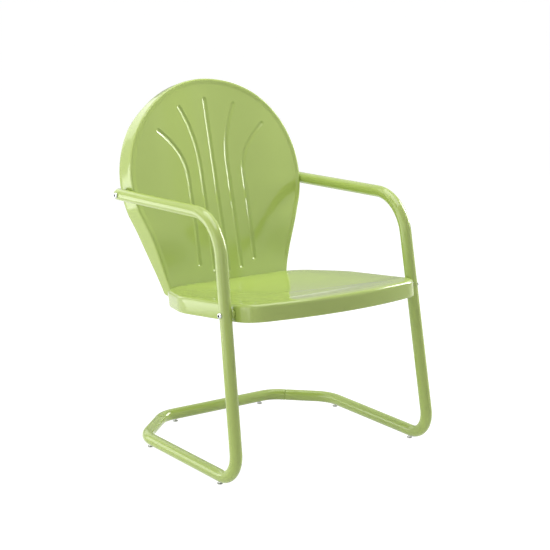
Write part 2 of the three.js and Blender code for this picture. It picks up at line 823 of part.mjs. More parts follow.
function addSide(group, side, word) {
  addPiece(group, `arm_and_leg_${word}`, armAndLeg(side), enamel);
  addPiece(group, `floor_rail_${word}`, floorRail(side), enamel);
  addPiece(group, `leg_spacer_${word}`, legSpacer(side), enamel);
  for (const [place, spot] of Object.entries(glideSpots(side))) {
    const floor = spot.clone().setZ(-tubeRadius - glideStand);
    addPiece(group, `glide_${place}_${word}`, aimed(glide(), floor, zAxis), glideSteel);
  }
  const leg = legPoint(side, legBoltHeight);
  addBoltAndNut(group, { bolt: `leg_bolt_${word}`, nut: `leg_nut_${word}` },
    leg.clone().setX(leg.x + side * (tubeRadius + restGap)),
    leg.clone().setX(side * (skirtHalf(-nutAcross) - sheet - nutClearance)));
  const arm = armBoltPoint(side);
  const beside = [-1, 1].map((end) => arm.clone().addScaledVector(zAxis, end * nutAcross / 2));
  const flangeHalf = Math.min(...beside.map((spot) => shellHalf(spot, 0)));
  addBoltAndNut(group, { bolt: `arm_bolt_${word}`, nut: `arm_nut_${word}` },
    arm.clone().setX(arm.x + side * (tubeRadius + restGap)),
    arm.clone().setX(side * (flangeHalf - sheet - nutClearance)));
}

function addBackBolts(group) {
  const words = ["right", "middle", "left"];
  backBoltSpots().forEach((spot, i) => {
    addBoltAndNut(group, { bolt: `back_bolt_${words[i]}`, nut: `back_nut_${words[i]}` },
      spot.clone().addScaledVector(backNormal(), sheet + restGap),
      spot.clone().addScaledVector(backNormal(), -sheet - 2 * restGap));
  });
}

function buildChair() {
  const chair = new THREE.Group();
  addPiece(chair, "seat_pan", seatPan(), enamel);
  addPiece(chair, "back_panel", backPanel(), enamel);
  addPiece(chair, "rear_stretcher", rearStretcher(), enamel);
  addSide(chair, 1, "left");
  addSide(chair, -1, "right");
  addBackBolts(chair);
  const box = new THREE.Box3().setFromObject(chair);
  chair.position.set(0, -(box.min.y + box.max.y) / 2, tubeRadius + glideStand);
  return chair;
}

export default buildChair();
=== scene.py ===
"""A spring lawn chair's looks, built around its packed CAD frame. Metres throughout.

The pieces are worked out in the chair's own working frame, whose origin is where a front leg meets
its floor rail, in the middle plane and at the height of the rails' axes. ORIGIN says where that is
in the packed frame.
"""

import math

import bmesh
import bpy
import numpy as np
from bpy.props import FloatProperty, FloatVectorProperty, IntProperty, PointerProperty
from mathutils import Matrix, Quaternion, Vector


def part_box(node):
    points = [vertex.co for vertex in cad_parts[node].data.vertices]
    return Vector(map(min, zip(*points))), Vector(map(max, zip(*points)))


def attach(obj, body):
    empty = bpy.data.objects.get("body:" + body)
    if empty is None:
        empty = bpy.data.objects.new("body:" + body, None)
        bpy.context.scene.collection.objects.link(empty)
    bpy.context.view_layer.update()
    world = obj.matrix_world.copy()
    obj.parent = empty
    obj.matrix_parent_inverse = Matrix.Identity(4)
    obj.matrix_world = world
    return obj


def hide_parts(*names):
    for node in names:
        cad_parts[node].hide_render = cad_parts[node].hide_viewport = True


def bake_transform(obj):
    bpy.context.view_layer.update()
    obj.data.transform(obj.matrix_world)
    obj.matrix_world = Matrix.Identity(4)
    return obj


bl_info = {
    "name": "Spring lawn chair",
    "version": (1, 0, 0),
    "blender": (4, 5, 0),
    "location": "3D View > Sidebar > Lawn chair",
    "description": "Builds the sheet metal, tubes and fasteners of a spring lawn chair",
    "category": "Add Mesh",
}

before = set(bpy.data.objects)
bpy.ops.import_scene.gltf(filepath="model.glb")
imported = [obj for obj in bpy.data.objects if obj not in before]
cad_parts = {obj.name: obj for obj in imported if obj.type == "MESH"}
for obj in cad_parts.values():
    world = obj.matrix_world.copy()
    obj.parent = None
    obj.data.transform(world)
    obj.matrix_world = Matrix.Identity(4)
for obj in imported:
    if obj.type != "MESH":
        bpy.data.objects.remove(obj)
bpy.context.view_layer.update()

MILLIMETRE = 0.001
FULL_TURN = 2 * math.pi
# From a front leg back to the axis of the front glide.
GLIDE_FRONT_SETBACK = 0.074
# Points in each loop of a tube, a bolt or any other round shape, and their bearings.
RING_SIDES = 48
RING_BEARINGS = np.linspace(0, FULL_TURN, RING_SIDES, endpoint=False)
# The sitter's left is toward positive X.
SIDES = {"left": 1, "right": -1}


def node_middle(node):
    """The middle of a CAD node's box."""
    low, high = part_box(node)
    return (Vector(low) + Vector(high)) / 2


def side_face(node, side):
    """Where a CAD node's box ends in X: 1 for its left end, -1 for its right end."""
    low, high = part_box(node)
    return high[0] if side > 0 else low[0]


ORIGIN = Vector((0, node_middle("glide_front_left").y - GLIDE_FRONT_SETBACK,
                 node_middle("rear_stretcher").z))


# Settings


def length(name, description, millimetres):
    """A size property, given in millimetres and kept in metres."""
    return FloatProperty(name=name, description=description, default=millimetres * MILLIMETRE,
                         precision=5, unit="LENGTH", subtype="DISTANCE")


def angle(name, description, degrees):
    """An angle property, given in degrees and kept in radians."""
    return FloatProperty(name=name, description=description, default=math.radians(degrees),
                         precision=3, unit="ROTATION", subtype="ANGLE")


def share(name, description, value):
    """A plain ratio."""
    return FloatProperty(name=name, description=description, default=value, subtype="FACTOR")


def power(name, description, watts):
    """A lamp's power."""
    return FloatProperty(name=name, description=description, default=watts, subtype="POWER")


def linear(hex_colour):
    """Turns an sRGB hex colour into the linear RGBA that Blender's shaders use."""
    channels = [int(hex_colour[i:i + 2], 16) / 255 for i in (1, 3, 5)]
    return (*[c / 12.92 if c <= 0.04045 else ((c + 0.055) / 1.055) ** 2.4 for c in channels], 1.0)


def colour(name, description, hex_colour):
    """A finish's colour, given as sRGB hex."""
    return FloatVectorProperty(name=name, description=description, default=linear(hex_colour),
                               size=4, min=0, max=1, subtype="COLOR")


class TubeSizes(bpy.types.PropertyGroup):
    """The bent tube frame, measured along tube centrelines."""

    diameter: length("Tube diameter", "Outside diameter of the frame tube", 28.6)
    wall: length("Tube wall", "Wall thickness of the frame tube", 1.6)
    lip: length("End rounding", "Rounding of the tube's cut ends", 0.5)
    rail_front_half: length("Rail half spacing, front", "Middle plane to a rail at its leg", 279.2)
    rail_rear_half: length("Rail half spacing, rear", "Middle plane to a rail's rear end", 282.7)
    rail_length: length("Rail length", "Leg to the rail's rear corner", 407.3)
    tail_half: length("Tail half spacing", "Middle plane to the stretcher's corners", 168)
    tail_setback: length("Tail setback", "Leg to the stretcher's axis", 518.1)
    leg_foot_bend: length("Foot bend", "Bend radius where leg and rail meet", 59)
    rail_rear_bend: length("Rail rear bend", "Bend radius at the rail's rear corner", 84)
    stretcher_bend: length("Stretcher bend", "Bend radius at the stretcher's corners", 75)
    joint_reach: length("Joint reach", "Rail's rear corner to the swaged joint", 118)
    joint_gap: length("Joint gap", "Open groove between the two tubes at the joint", 0.3)
    swage_taper: length("Swage taper", "Length over which the tube is drawn down", 2)
    swage_length: length("Swage length", "Reach of the reduced end into the rail", 30)
    leg_rise: length("Leg rise", "Rail axis to the arm's front corner", 586.7)
    leg_setback: length("Leg setback", "How far back the arm's front corner stands", 101.4)
    arm_front_half: length("Arm half spacing", "Middle plane to an arm's front", 261.1)
    arm_length: length("Arm length", "Front corner to the rear end, along the depth", 444.6)
    arm_drop: length("Arm drop", "How far the arm falls to its rear end", 7.8)
    arm_bend: length("Arm bend", "Bend radius between leg and arm", 105)
    arm_clearance: length("Arm clearance", "Gap between an arm's end and the back", 0.5)
    flex_height: length("Flex height", "Height of the springy foot's pivot", 92)
    flex_reach: length("Flex reach", "How far above and below the pivot the leg bends", 62)


class SeatSizes(bpy.types.PropertyGroup):
    """The pressed seat pan, in its own plane."""

    tilt: angle("Tilt", "How far the seat falls toward the back", 6.22)
    centre_setback: length("Centre setback", "Leg to the seat's middle", 211)
    centre_height: length("Centre height", "Height of the seat's middle", 378.5)
    front_reach: length("Front reach", "Seat's middle to its bowed front edge", 245.4)
    front_bow: length("Front bow", "Radius of the bowed front edge", 640)
    front_bow_half: length("Front bow half", "Half the width that the bow spans", 180)
    front_half: length("Front half width", "Half the width at the front corners", 247)
    waist_half: length("Waist half width", "Half the width where the sides turn in", 252)
    waist_reach: length("Waist reach", "Seat's middle to where the sides turn in", 78)
    rear_half: length("Rear half width", "Half the width at the rear corners", 198)
    front_corner: length("Front corner", "Rounding of the front corners", 72)
    waist_corner: length("Waist corner", "Rounding where the sides turn in", 200)
    rear_corner: length("Rear corner", "Rounding of the rear corners", 92)
    back_gap: length("Back gap", "Gap between the rear skirt and the back", 0.3)
    skirt_depth: length("Skirt depth", "Depth of the skirt below the rim", 40)
    roll: length("Roll radius", "Radius between the seat's face and its skirt", 9)
    hem: length("Hem radius", "Radius of the skirt's rolled-in hem", 3)
    dish: length("Dish depth", "Depth of the dished middle", 14)
    front_dish: share("Front dish", "Share of the dish's depth at the front edge", 0.45)
    sheet: length("Sheet", "Thickness of the pressed sheet", 1.6)


class BackSizes(bpy.types.PropertyGroup):
    """The pressed shell back, in its own plane; heights run from the middle of its round top."""

    lean: angle("Lean", "How far the back leans to the rear", 14.41)
    centre_setback: length("Centre setback", "Leg to the middle of the round top", 521.4)
    centre_height: length("Centre height", "Height of the middle of the round top", 603.5)
    radius: length("Top radius", "Radius of the round top", 250.8)
    taper: angle("Shoulder", "How far below level the round top runs on", 17.4)
    foot: length("Foot drop", "Middle of the round top to the foot", 293)
    foot_half: length("Foot half width", "Half the width at the foot", 171)
    foot_corner: length("Foot corner", "Rounding of the foot's corners", 12)
    waist: length("Waist", "How far the sides are drawn in", 10)
    roll: length("Rim roll", "Radius between the face and the flange", 5)
    hem: length("Hem radius", "Radius of the flange's rolled-in edge", 2)
    rim_rise: length("Rim rise", "How far the rim stands proud of the face", 1.7)
    rim_width: length("Rim width", "Width over which the rim rises", 9)
    rim_start: length("Rim rise start", "Height above the foot where the rim starts to rise", 43)
    rim_full: length("Rim rise full", "Height above the foot where the rim is at its full rise", 78)
    swell: length("Middle", "How far the middle stands forward of the sides", 15)
    swell_half: length("Middle half width", "Half the width over which the middle swells", 190)
    swell_start: length("Middle start", "Height above the foot where the swell starts", 52)
    swell_full: length("Middle full", "Height above the foot where the swell is full", 181)
    flange: length("Flange depth", "Depth of the flange beside the arms", 60)
    flange_top: length("Flange depth, top", "Depth of the flange at the top", 34)
    flange_top_start: length("Flange top start", "Height where the flange starts to narrow", 128)
    flange_foot: length("Flange depth, foot", "Depth of the flange just above the foot", 38)
    flange_foot_top: length("Flange foot top", "Height above the foot where it starts to narrow", 165)
    flange_foot_end: length("Flange foot end", "Height above the foot where it turns to a hem", 20)
    foot_hem: length("Foot hem", "Depth of the flange across the foot", 9)
    sheet: length("Sheet", "Thickness of the pressed sheet", 1.6)


class RibSizes(bpy.types.PropertyGroup):
    """The five grooves pressed into the back: one in the middle and two pairs that flare out."""

    half_width: length("Half width", "Half the width of a groove at the face", 7)
    depth: length("Depth", "How far a rib is pressed rearward", 2.6)
    rounding: share("Rounding", "Share of the half width that rounds a rib's edge and bottom", 0.22)
    flare_power: share("Flare power", "How suddenly a rib flares near its top", 2.2)
    middle_top: length("Middle top", "Top of the middle rib", 198)
    middle_foot: length("Middle foot", "Foot of the middle rib, above the back's foot", 55)
    inner_stand: length("Inner stand", "Middle plane to an inner rib", 40)
    inner_top: length("Inner top", "Top of an inner rib", 181)
    inner_foot: length("Inner foot", "Foot of an inner rib, above the back's foot", 60)
    inner_start: length("Inner flare start", "Height where an inner rib starts to flare", 20)
    inner_flare: length("Inner flare", "How far an inner rib flares", 40)
    outer_stand: length("Outer stand", "Middle plane to an outer rib", 82)
    outer_top: length("Outer top", "Top of an outer rib", 125)
    outer_foot: length("Outer foot", "Foot of an outer rib, above the back's foot", 77)
    outer_start: length("Outer flare start", "Height where an outer rib starts to flare", 0)
    outer_flare: length("Outer flare", "How far an outer rib flares", 71.5)


class FastenerSizes(bpy.types.PropertyGroup):
    """Button-head bolts, their nuts, the leg spacers and the floor glides."""

    edge: length("Edge", "Rounding of a bolt's head and tip", 0.5)
    shank: length("Shank radius", "Radius of a bolt's shank", 3.15)
    head: length("Head radius", "Radius of a bolt's head", 6.8)
    head_height: length("Head height", "Height of a bolt's head", 4.2)
    socket: length("Socket", "Half the hexagon socket's width across flats", 3.1)
    socket_depth: length("Socket depth", "Depth of the hexagon socket", 2.4)
    socket_chamfer: length("Socket chamfer", "Chamfer round the socket's mouth", 0.3)
    nut_across: length("Nut width", "Nut's width across flats", 11)
    nut_height: length("Nut height", "Height of a nut", 5.2)
    nut_clearance: length("Nut clearance", "Gap between a bolt's shank and its nut", 0.25)
    nut_mouth: length("Nut mouth", "Chamfer at the mouth of a nut's bore", 0.4)
    tip: length("Bolt tip", "How far a bolt stands out of its nut", 2.5)
    spacer: length("Spacer radius", "Radius of the spacer between leg and skirt", 11)
    spacer_edge: length("Spacer edge", "Rounding of the spacer's edge", 1.2)
    back_spacing: length("Back bolt spacing", "Middle bolt to the outer ones", 120)
    back_foot: length("Back bolt height", "Bolt's height above the back's foot", 16)
    seating: length("Seating", "Gap left under a head or nut", 0.3)
    glide: length("Glide radius", "Radius of a glide's disc", 6.75)
    glide_disc: length("Glide disc", "Height of a glide's disc", 3)
    glide_stem: length("Glide stem", "Radius of a glide's stem", 3.4)


class FinishColours(bpy.types.PropertyGroup):
    """Colours and textures of the finishes."""

    enamel: colour("Enamel", "Light green of the sheet metal and tubes", "#AABD65")
    enamel_deep: colour("Enamel, thin", "Slightly deeper green where the coat ran thinner", "#A6BA60")
    zinc: colour("Zinc plate", "Bright plating of bolts and nuts", "#CDD0D2")
    glide_steel: colour("Nickelled steel", "Bright steel of the glides", "#B9BBB8")
    # Painted shade: near-black laid inside a bolt's socket where its walls close round, standing in
    # for the shade in the recess.
    socket_painted_shade: colour("Bare steel", "Dull steel deep in a bolt's socket", "#1E1E1C")
    coat_cloud: length("Coat clouds", "Size of the patches where the coat ran thicker", 111.1)
    peel: length("Orange peel", "Size of the ripples in the sprayed coat", 5)
    peel_height: length("Orange peel height", "Height of the ripples in the sprayed coat", 0.06)
    # Reach of the ambient occlusion that paints shade into a bolt's socket.
    socket_shade_reach: length("Shelter", "How close walls must be to keep the plating off", 6)
    plate_grain: length("Plate grain", "Size of the faint mottling in the plating", 1.2)


class StudioSettings(bpy.types.PropertyGroup):
    """The camera, the floor, the grey card and the studio's lamps."""

    camera_place: FloatVectorProperty(
        name="Camera place", description="Camera in the packed frame", size=3,
        default=(-1.893, -2.7429, 1.1388), unit="LENGTH", subtype="TRANSLATION", precision=4)
    camera_turn: angle("Camera turn", "Azimuth of the view, clockwise from above", 34.92)
    camera_pitch: angle("Camera pitch", "How far the camera looks down", 12.33)
    focal_pixels: FloatProperty(name="Focal length", description="Focal length in pixels",
                                default=1401, subtype="PIXEL")
    frame_pixels: IntProperty(name="Frame width", description="Width of the picture in pixels",
                              default=550, subtype="PIXEL")
    floor_reach: length("Floor reach", "Half the width of the floor", 60000)
    floor: colour("Floor", "Pale grey of the studio floor", "#E6E6E4")
    floor_pale: colour("Floor, pale", "Grey of the floor's paler patches", "#EAEAE8")
    floor_seen: colour("Floor, seen", "Grey that shows the shadow on the white floor", "#7C7C7C")
    floor_glow: share("Floor glow", "How white the floor is where it is seen", 0.98)
    scuff: length("Floor scuffing", "Size of the floor's paler patches", 667)
    card: colour("Card", "Grey of the card behind, at its left end", "#B0B0B0")
    card_pale: colour("Card, pale", "Grey of the card at its right end", "#B8B8B8")
    card_distance: length("Card distance", "Middle of the floor to the card", 6000)
    card_height: length("Card height", "Height of the card", 2100)
    card_spread: angle("Card spread", "How far the card runs from straight behind to the right", 45)
    fill: share("Fill", "Strength of the even light from all round", 0.12)
    key: power("Key lamp", "Power of the bright window lamp at the right", 86)
    overhead: power("Overhead lamp", "Power of the large soft lamp above", 58)
    left: power("Left lamp", "Power of the soft lamp at the left", 28)
    front_left: power("Front left lamp", "Power of the soft lamp in front on the left", 10)
    front_right: power("Front right lamp", "Power of the soft lamp in front on the right", 3)
    rear: power("Rear lamp", "Power of the soft lamp straight behind", 7)
    rear_high: power("Rear high lamp", "Power of the high lamp behind on the left", 9)
    rear_low: power("Rear low lamp", "Power of the low lamp behind on the left", 17)


# Materials


def add_node(tree, kind, settings=None, values=None, links=None):
    """Adds a shader node, sets its settings and input values, and links its inputs."""
    node = tree.nodes.new(kind)
    for key, value in (settings or {}).items():
        setattr(node, key, value)
    for key, value in (values or {}).items():
        node.inputs[key].default_value = value
    for key, socket in (links or {}).items():
        tree.links.new(socket, node.inputs[key])
    return node


def fresh_material(name):
    """An empty node material, its node tree and the surface socket of its output."""
    material = bpy.data.materials.new(name)
    material.use_nodes = True
    material.node_tree.nodes.clear()
    output = add_node(material.node_tree, "ShaderNodeOutputMaterial")
    return material, material.node_tree, output.inputs["Surface"]


def sprayed_baked_enamel(tree, finish):
    """Gloss enamel, sprayed on steel and baked. It flows out to a near mirror, so lamps and
    neighbouring pieces show in it, and keeps a faint orange peel and a slight unevenness of tone
    where the coat lies thicker. The real ripples are 2 to 3 mm across, too fine to show at this
    distance, so they are drawn at 5 mm."""
    place = add_node(tree, "ShaderNodeTexCoord")
    tone = add_node(tree, "ShaderNodeTexNoise",
                    values={"Scale": 1 / finish.coat_cloud, "Detail": 3.0, "Roughness": 0.5},
                    links={"Vector": place.outputs["Object"]})
    body = add_node(tree, "ShaderNodeMix", {"data_type": "RGBA"},
                    {"A": tuple(finish.enamel_deep), "B": tuple(finish.enamel)},
                    {"Factor": tone.outputs["Fac"]})
    peel = add_node(tree, "ShaderNodeTexNoise",
                    values={"Scale": 1 / finish.peel, "Detail": 1.0, "Roughness": 0.4},
                    links={"Vector": place.outputs["Object"]})
    ripple = add_node(tree, "ShaderNodeBump",
                      values={"Strength": 0.25, "Distance": finish.peel_height},
                      links={"Height": peel.outputs["Fac"]})
    gloss = add_node(tree, "ShaderNodeMapRange",
                     values={"From Min": 0.3, "From Max": 0.7, "To Min": 0.07, "To Max": 0.12},
                     links={"Value": tone.outputs["Fac"]})
    return add_node(tree, "ShaderNodeBsdfPrincipled", values={"Metallic": 0.0, "IOR": 1.5},
                    links={"Base Color": body.outputs["Result"],
                           "Roughness": gloss.outputs["Result"],
                           "Normal": ripple.outputs["Normal"]})


def plated_steel(tree, finish, base, rough_low, rough_high):
    """Steel with a thin bright plating over a turned or pressed surface. It mirrors its
    surroundings with a soft blur that varies in fine patches, as barrel plating does."""
    deeper = tuple(channel * 0.9 for channel in base[:3]) + (1.0,)
    place = add_node(tree, "ShaderNodeTexCoord")
    mottle = add_node(tree, "ShaderNodeTexNoise",
                      values={"Scale": 1 / finish.plate_grain, "Detail": 2.0},
                      links={"Vector": place.outputs["Object"]})
    blur = add_node(tree, "ShaderNodeMapRange",
                    values={"From Min": 0.3, "From Max": 0.7, "To Min": rough_low,
                            "To Max": rough_high},
                    links={"Value": mottle.outputs["Fac"]})
    tint = add_node(tree, "ShaderNodeMix", {"data_type": "RGBA"},
                    {"A": tuple(base), "B": deeper}, {"Factor": mottle.outputs["Fac"]})
    return add_node(tree, "ShaderNodeBsdfPrincipled", values={"Metallic": 1.0},
                    links={"Base Color": tint.outputs["Result"],
                           "Roughness": blur.outputs["Result"]})


def bright_zinc_plate(tree, finish):
    """Zinc plate on cold-headed bolts and nuts: a bright, slightly cool metal. Inside a socket, where
    the walls close round, the colour is mixed toward near-black as painted shade."""
    metal = plated_steel(tree, finish, finish.zinc, rough_low=0.10, rough_high=0.22)
    plated = metal.inputs["Base Color"].links[0].from_socket
    # Painted shade: ambient occlusion darkens the socket's recess toward near-black.
    socket_occlusion = add_node(tree, "ShaderNodeAmbientOcclusion", {"samples": 8, "only_local": True},
                        {"Distance": finish.socket_shade_reach})
    reach = add_node(tree, "ShaderNodeMapRange",
                     values={"From Min": 0.6, "From Max": 0.92, "To Min": 0.0, "To Max": 1.0},
                     links={"Value": socket_occlusion.outputs["AO"]})
    shade = add_node(tree, "ShaderNodeMix", {"data_type": "RGBA"},
                     {"A": tuple(finish.socket_painted_shade)},
                     {"Factor": reach.outputs["Result"], "B": plated})
    tree.links.new(shade.outputs["Result"], metal.inputs["Base Color"])
    return metal


def nickelled_pressed_steel(tree, finish):
    """Nickel plate on pressed steel glides: a warm grey metal, duller than the bolts."""
    return plated_steel(tree, finish, finish.glide_steel, rough_low=0.18, rough_high=0.32)


# Each slot's material name, and the function that lays its finish on.
FINISHES = {
    "green_enamel": ("sprayed baked enamel", sprayed_baked_enamel),
    "bright_zinc": ("bright zinc plate", bright_zinc_plate),
    "glide_steel": ("nickelled pressed steel", nickelled_pressed_steel),
}


def finish_for(slot):
    """The material of a slot, made when the first piece asks for it."""
    name, lay_on = FINISHES[slot]
    if name not in bpy.data.materials:
        _, tree, surface = fresh_material(name)
        shader = lay_on(tree, bpy.context.scene.chair_finish)
        tree.links.new(shader.outputs["BSDF"], surface)
    return bpy.data.materials[name]


# Shapes


def smooth_step(start, end, value):
    """Rises smoothly from 0 at start to 1 at end."""
    t = np.clip((value - start) / (end - start), 0, 1)
    return t * t * (3 - 2 * t)


def to_frame(points):
    """Turns points of the working frame into points of the packed frame."""
    return np.asarray(points, float) + np.array(ORIGIN)


def plane_turn(tilt):
    """The matrix that turns rows of a tilted panel's own plane into the frame's directions."""
    return np.array(Matrix.Rotation(-tilt, 3, "X")).T


def from_plane(points, tilt, setback, height):
    """Turns points of a tilted panel's own plane into points of the packed frame."""
    return to_frame(np.asarray(points, float) @ plane_turn(tilt) + np.array((0, setback, height)))


def strip_faces(a, b, count):
    """Four-sided faces between two loops of count points, whose first points are a and b."""
    here = np.arange(count)
    following = (here + 1) % count
    return np.stack([a + here, b + here, b + following, a + following], 1).tolist()


def lofted_skin(loops, start=None, end=None, ring=False):
    """Points and faces of a skin over loops that all have the same number of points. It closes on
    a start and an end point, or back on its first loop if it is a ring."""
    count, total = len(loops[0]), len(loops)
    points = np.concatenate([np.asarray(loop, float) for loop in loops])
    faces = []
    for i in range(total if ring else total - 1):
        faces += strip_faces(i * count, (i + 1) % total * count, count)
    for cap, base in ((start, 0), (end, (total - 1) * count)):
        if cap is not None:
            tip = len(points)
            points = np.concatenate([points, [cap]])
            faces += [[tip, base + i, base + (i + 1) % count] for i in range(count)]
    return points, faces


def scene_object(name, data):
    """A new object in the scene, for a mesh, a lamp or a camera."""
    item = bpy.data.objects.new(name, data)
    bpy.context.scene.collection.objects.link(item)
    return item


def mesh_object(name, points, faces, material):
    """A new object whose mesh has these points and faces, all in one material."""
    mesh = bpy.data.meshes.new(name)
    mesh.from_pydata(points, [], faces)
    mesh.materials.append(material)
    return scene_object(name, mesh)


def add_piece(name, skin, body, nodes, slot, crease=35):
    """Makes a shown piece from points and faces, in its slot's finish, hangs it on its body if it has
    one, and hides the CAD nodes whose place it takes. Edges that turn by more than the crease, in
    degrees, stay sharp."""
    points, faces = skin
    piece = mesh_object(name, np.asarray(points).tolist(), faces, finish_for(slot))
    mesh = piece.data
    shape = bmesh.new()
    shape.from_mesh(mesh)
    bmesh.ops.recalc_face_normals(shape, faces=shape.faces)
    shape.to_mesh(mesh)
    shape.free()
    mesh.polygons.foreach_set("use_smooth", [True] * len(mesh.polygons))
    mesh.set_sharp_from_angle(angle=math.radians(crease))
    if body:
        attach(piece, body)
    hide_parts(*nodes)
    return piece


# Bent tubes


def bent_line(corners, bends, straight_step=0.02, bend_step=math.radians(3)):
    """Stations, each a point and a heading, along straight lengths joined by round bends."""
    stations = [(corners[0], (corners[1] - corners[0]).normalized())]

    def run_to(point, heading):
        last = stations[-1][0]
        pieces = max(1, math.ceil((point - last).length / straight_step))
        for i in range(1, pieces + 1):
            stations.append((last.lerp(point, i / pieces), heading))

    for before, corner, after, radius in zip(corners, corners[1:], corners[2:], bends):
        incoming, outgoing = (corner - before).normalized(), (after - corner).normalized()
        turn = incoming.angle(outgoing)
        start = corner - incoming * radius * math.tan(turn / 2)
        centre = corner + (outgoing - incoming).normalized() * radius / math.cos(turn / 2)
        axis = incoming.cross(outgoing).normalized()
        run_to(start, incoming)
        steps = math.ceil(turn / bend_step)
        for i in range(1, steps + 1):
            turned = Quaternion(axis, turn * i / steps)
            stations.append((centre + turned @ (start - centre), turned @ incoming))
    run_to(corners[-1], stations[-1][1])
    return stations


def carried_rings(stations):
    """For each station, a function that gives a ring of a radius there, moved along the tube by
    an offset. The rings keep their bearing along the run, so the skin doesn't twist."""
    heading = stations[0][1]
    across = heading.orthogonal().normalized()
    rings = []
    for point, next_heading in stations:
        across = heading.rotation_difference(next_heading) @ across
        heading = next_heading
        u = np.array(across)
        v = np.array(heading.cross(across))
        circle = np.outer(np.cos(RING_BEARINGS), u) + np.outer(np.sin(RING_BEARINGS), v)

        def ring(radius, offset=0.0, circle=circle, middle=np.array(point), way=np.array(heading)):
            return middle + way * offset + circle * radius

        rings.append(ring)
    return rings


def lip_loops(ring, outer, inner, lip, sense):
    """The rounded lip of a cut tube end, from its outside to its bore."""
    outside, bore = [], []
    for turn in np.radians((0, 30, 60, 90)):
        inset, offset = lip * (1 - math.cos(turn)), sense * lip * (math.sin(turn) - 1)
        outside.append(ring(outer - inset, offset))
        bore.append(ring(inner + inset, offset))
    return outside + bore[::-1]


def tube_skin(stations, outer, inner, lip):
    """The whole skin of a bent tube: outside, far lip, bore and near lip."""
    rings = carried_rings(stations)
    loops = [ring(outer) for ring in rings[1:-1]]
    loops += lip_loops(rings[-1], outer, inner, lip, 1)
    loops += [ring(inner) for ring in reversed(rings[1:-1])]
    loops += lip_loops(rings[0], outer, inner, lip, -1)[::-1]
    return lofted_skin(loops, ring=True)


def side_corners(scene, side):
    """The centreline corners of one side of the frame; side is 1 on the sitter's left."""
    tube, back = scene.chair_tube, scene.chair_back
    arm_rear = Vector((0, tube.leg_setback + tube.arm_length, tube.leg_rise - tube.arm_drop))
    height = ((arm_rear.y - back.centre_setback) * math.sin(back.lean)
              + (arm_rear.z - back.centre_height) * math.cos(back.lean))
    arm_rear.x = side * math.sqrt((back.radius + tube.arm_clearance + tube.diameter / 2) ** 2
                                  - height ** 2)
    return {
        "rail_front": Vector((side * tube.rail_front_half, 0, 0)),
        "rail_rear": Vector((side * tube.rail_rear_half, tube.rail_length, 0)),
        "tail": Vector((side * tube.tail_half, tube.tail_setback, 0)),
        "arm_front": Vector((side * tube.arm_front_half, tube.leg_setback, tube.leg_rise)),
        "arm_rear": arm_rear,
    }


def leg_point(scene, side, height):
    """A point on a leg's centreline."""
    corners = side_corners(scene, side)
    return corners["rail_front"].lerp(corners["arm_front"], height / scene.chair_tube.leg_rise)


def tail_point(corners, reach):
    """A point on a rail's tail, some way past its rear corner."""
    inward = (corners["tail"] - corners["rail_rear"]).normalized()
    return corners["rail_rear"] + inward * reach


class BuildFrameTubes(bpy.types.Operator):
    """Bends each side's tube in one run: arm, leg, springy foot, floor rail and turned-in tail"""

    bl_idname = "lawn_chair.frame_tubes"
    bl_label = "Frame tubes"

    def execute(self, context):
        scene, tube = context.scene, context.scene.chair_tube
        outer = tube.diameter / 2
        for word, side in SIDES.items():
            c = side_corners(scene, side)
            line = bent_line([c["arm_rear"], c["arm_front"], c["rail_front"], c["rail_rear"],
                              tail_point(c, tube.joint_reach)],
                             [tube.arm_bend, tube.leg_foot_bend, tube.rail_rear_bend])
            points, faces = tube_skin(line, outer, outer - tube.wall, tube.lip)
            piece = add_piece(f"frame_tube_{word}", (to_frame(points), faces), None,
                              [f"arm_and_leg_{word}", f"floor_rail_{word}"], "green_enamel")
            pivot = Vector(to_frame(leg_point(scene, side, tube.flex_height)))
            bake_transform(piece)
        return {"FINISHED"}


def plug_loops(tube, ring, sense):
    """A tube end drawn down over its taper to a plug, whose cut edge is rounded over the last part
    of its length, and the bore coming back."""
    outer = tube.diameter / 2
    inner = outer - tube.wall
    plug, taper, end = inner - 2 * tube.joint_gap, tube.swage_taper, tube.swage_length
    rounding = 0.97
    loops = [ring(outer + (plug - outer) * float(smooth_step(0, 1, t)), sense * t * taper)
             for t in np.linspace(0, 1, 7)]
    loops += [ring(plug, sense * (taper + end * t)) for t in (0.2, 0.5, rounding)]
    return loops + [ring(plug - tube.wall / 2, sense * (taper + end)),
                    ring(plug - tube.wall, sense * (taper + end * rounding)),
                    ring(plug - tube.wall, sense * taper),
                    ring(inner, sense * -taper)]


class BuildRearStretcher(bpy.types.Operator):
    """Bends the rear stretcher, whose drawn-down ends plug into the rails' tails"""

    bl_idname = "lawn_chair.rear_stretcher"
    bl_label = "Rear stretcher"

    def execute(self, context):
        scene, tube = context.scene, context.scene.chair_tube
        outer = tube.diameter / 2
        right, left = side_corners(scene, -1), side_corners(scene, 1)
        reach = tube.joint_reach + tube.joint_gap + tube.swage_taper
        line = bent_line([tail_point(right, reach), right["tail"], left["tail"],
                          tail_point(left, reach)], [tube.stretcher_bend] * 2)
        rings = carried_rings(line)
        loops = [ring(outer) for ring in rings[1:-1]]
        loops += plug_loops(tube, rings[-1], 1)
        loops += [ring(outer - tube.wall) for ring in reversed(rings[1:-1])]
        loops += plug_loops(tube, rings[0], -1)[::-1]
        points, faces = lofted_skin(loops, ring=True)
        add_piece("stretcher_tube", (to_frame(points), faces), "base", ["rear_stretcher"],
                  "green_enamel")
        return {"FINISHED"}


# Pressed sheet


def arc_points(centre, radius, start, end, count=300):
    """Points along a circle's arc."""
    turns = np.linspace(start, end, count)
    return np.stack([centre[0] + radius * np.cos(turns), centre[1] + radius * np.sin(turns)], 1)


def curve_points(a, b, c, count=120):
    """Points along a quadratic curve from a to c, drawn toward b."""
    t = np.linspace(0, 1, count)[:, None]
    return (1 - t) ** 2 * np.array(a) + 2 * t * (1 - t) * np.array(b) + t * t * np.array(c)


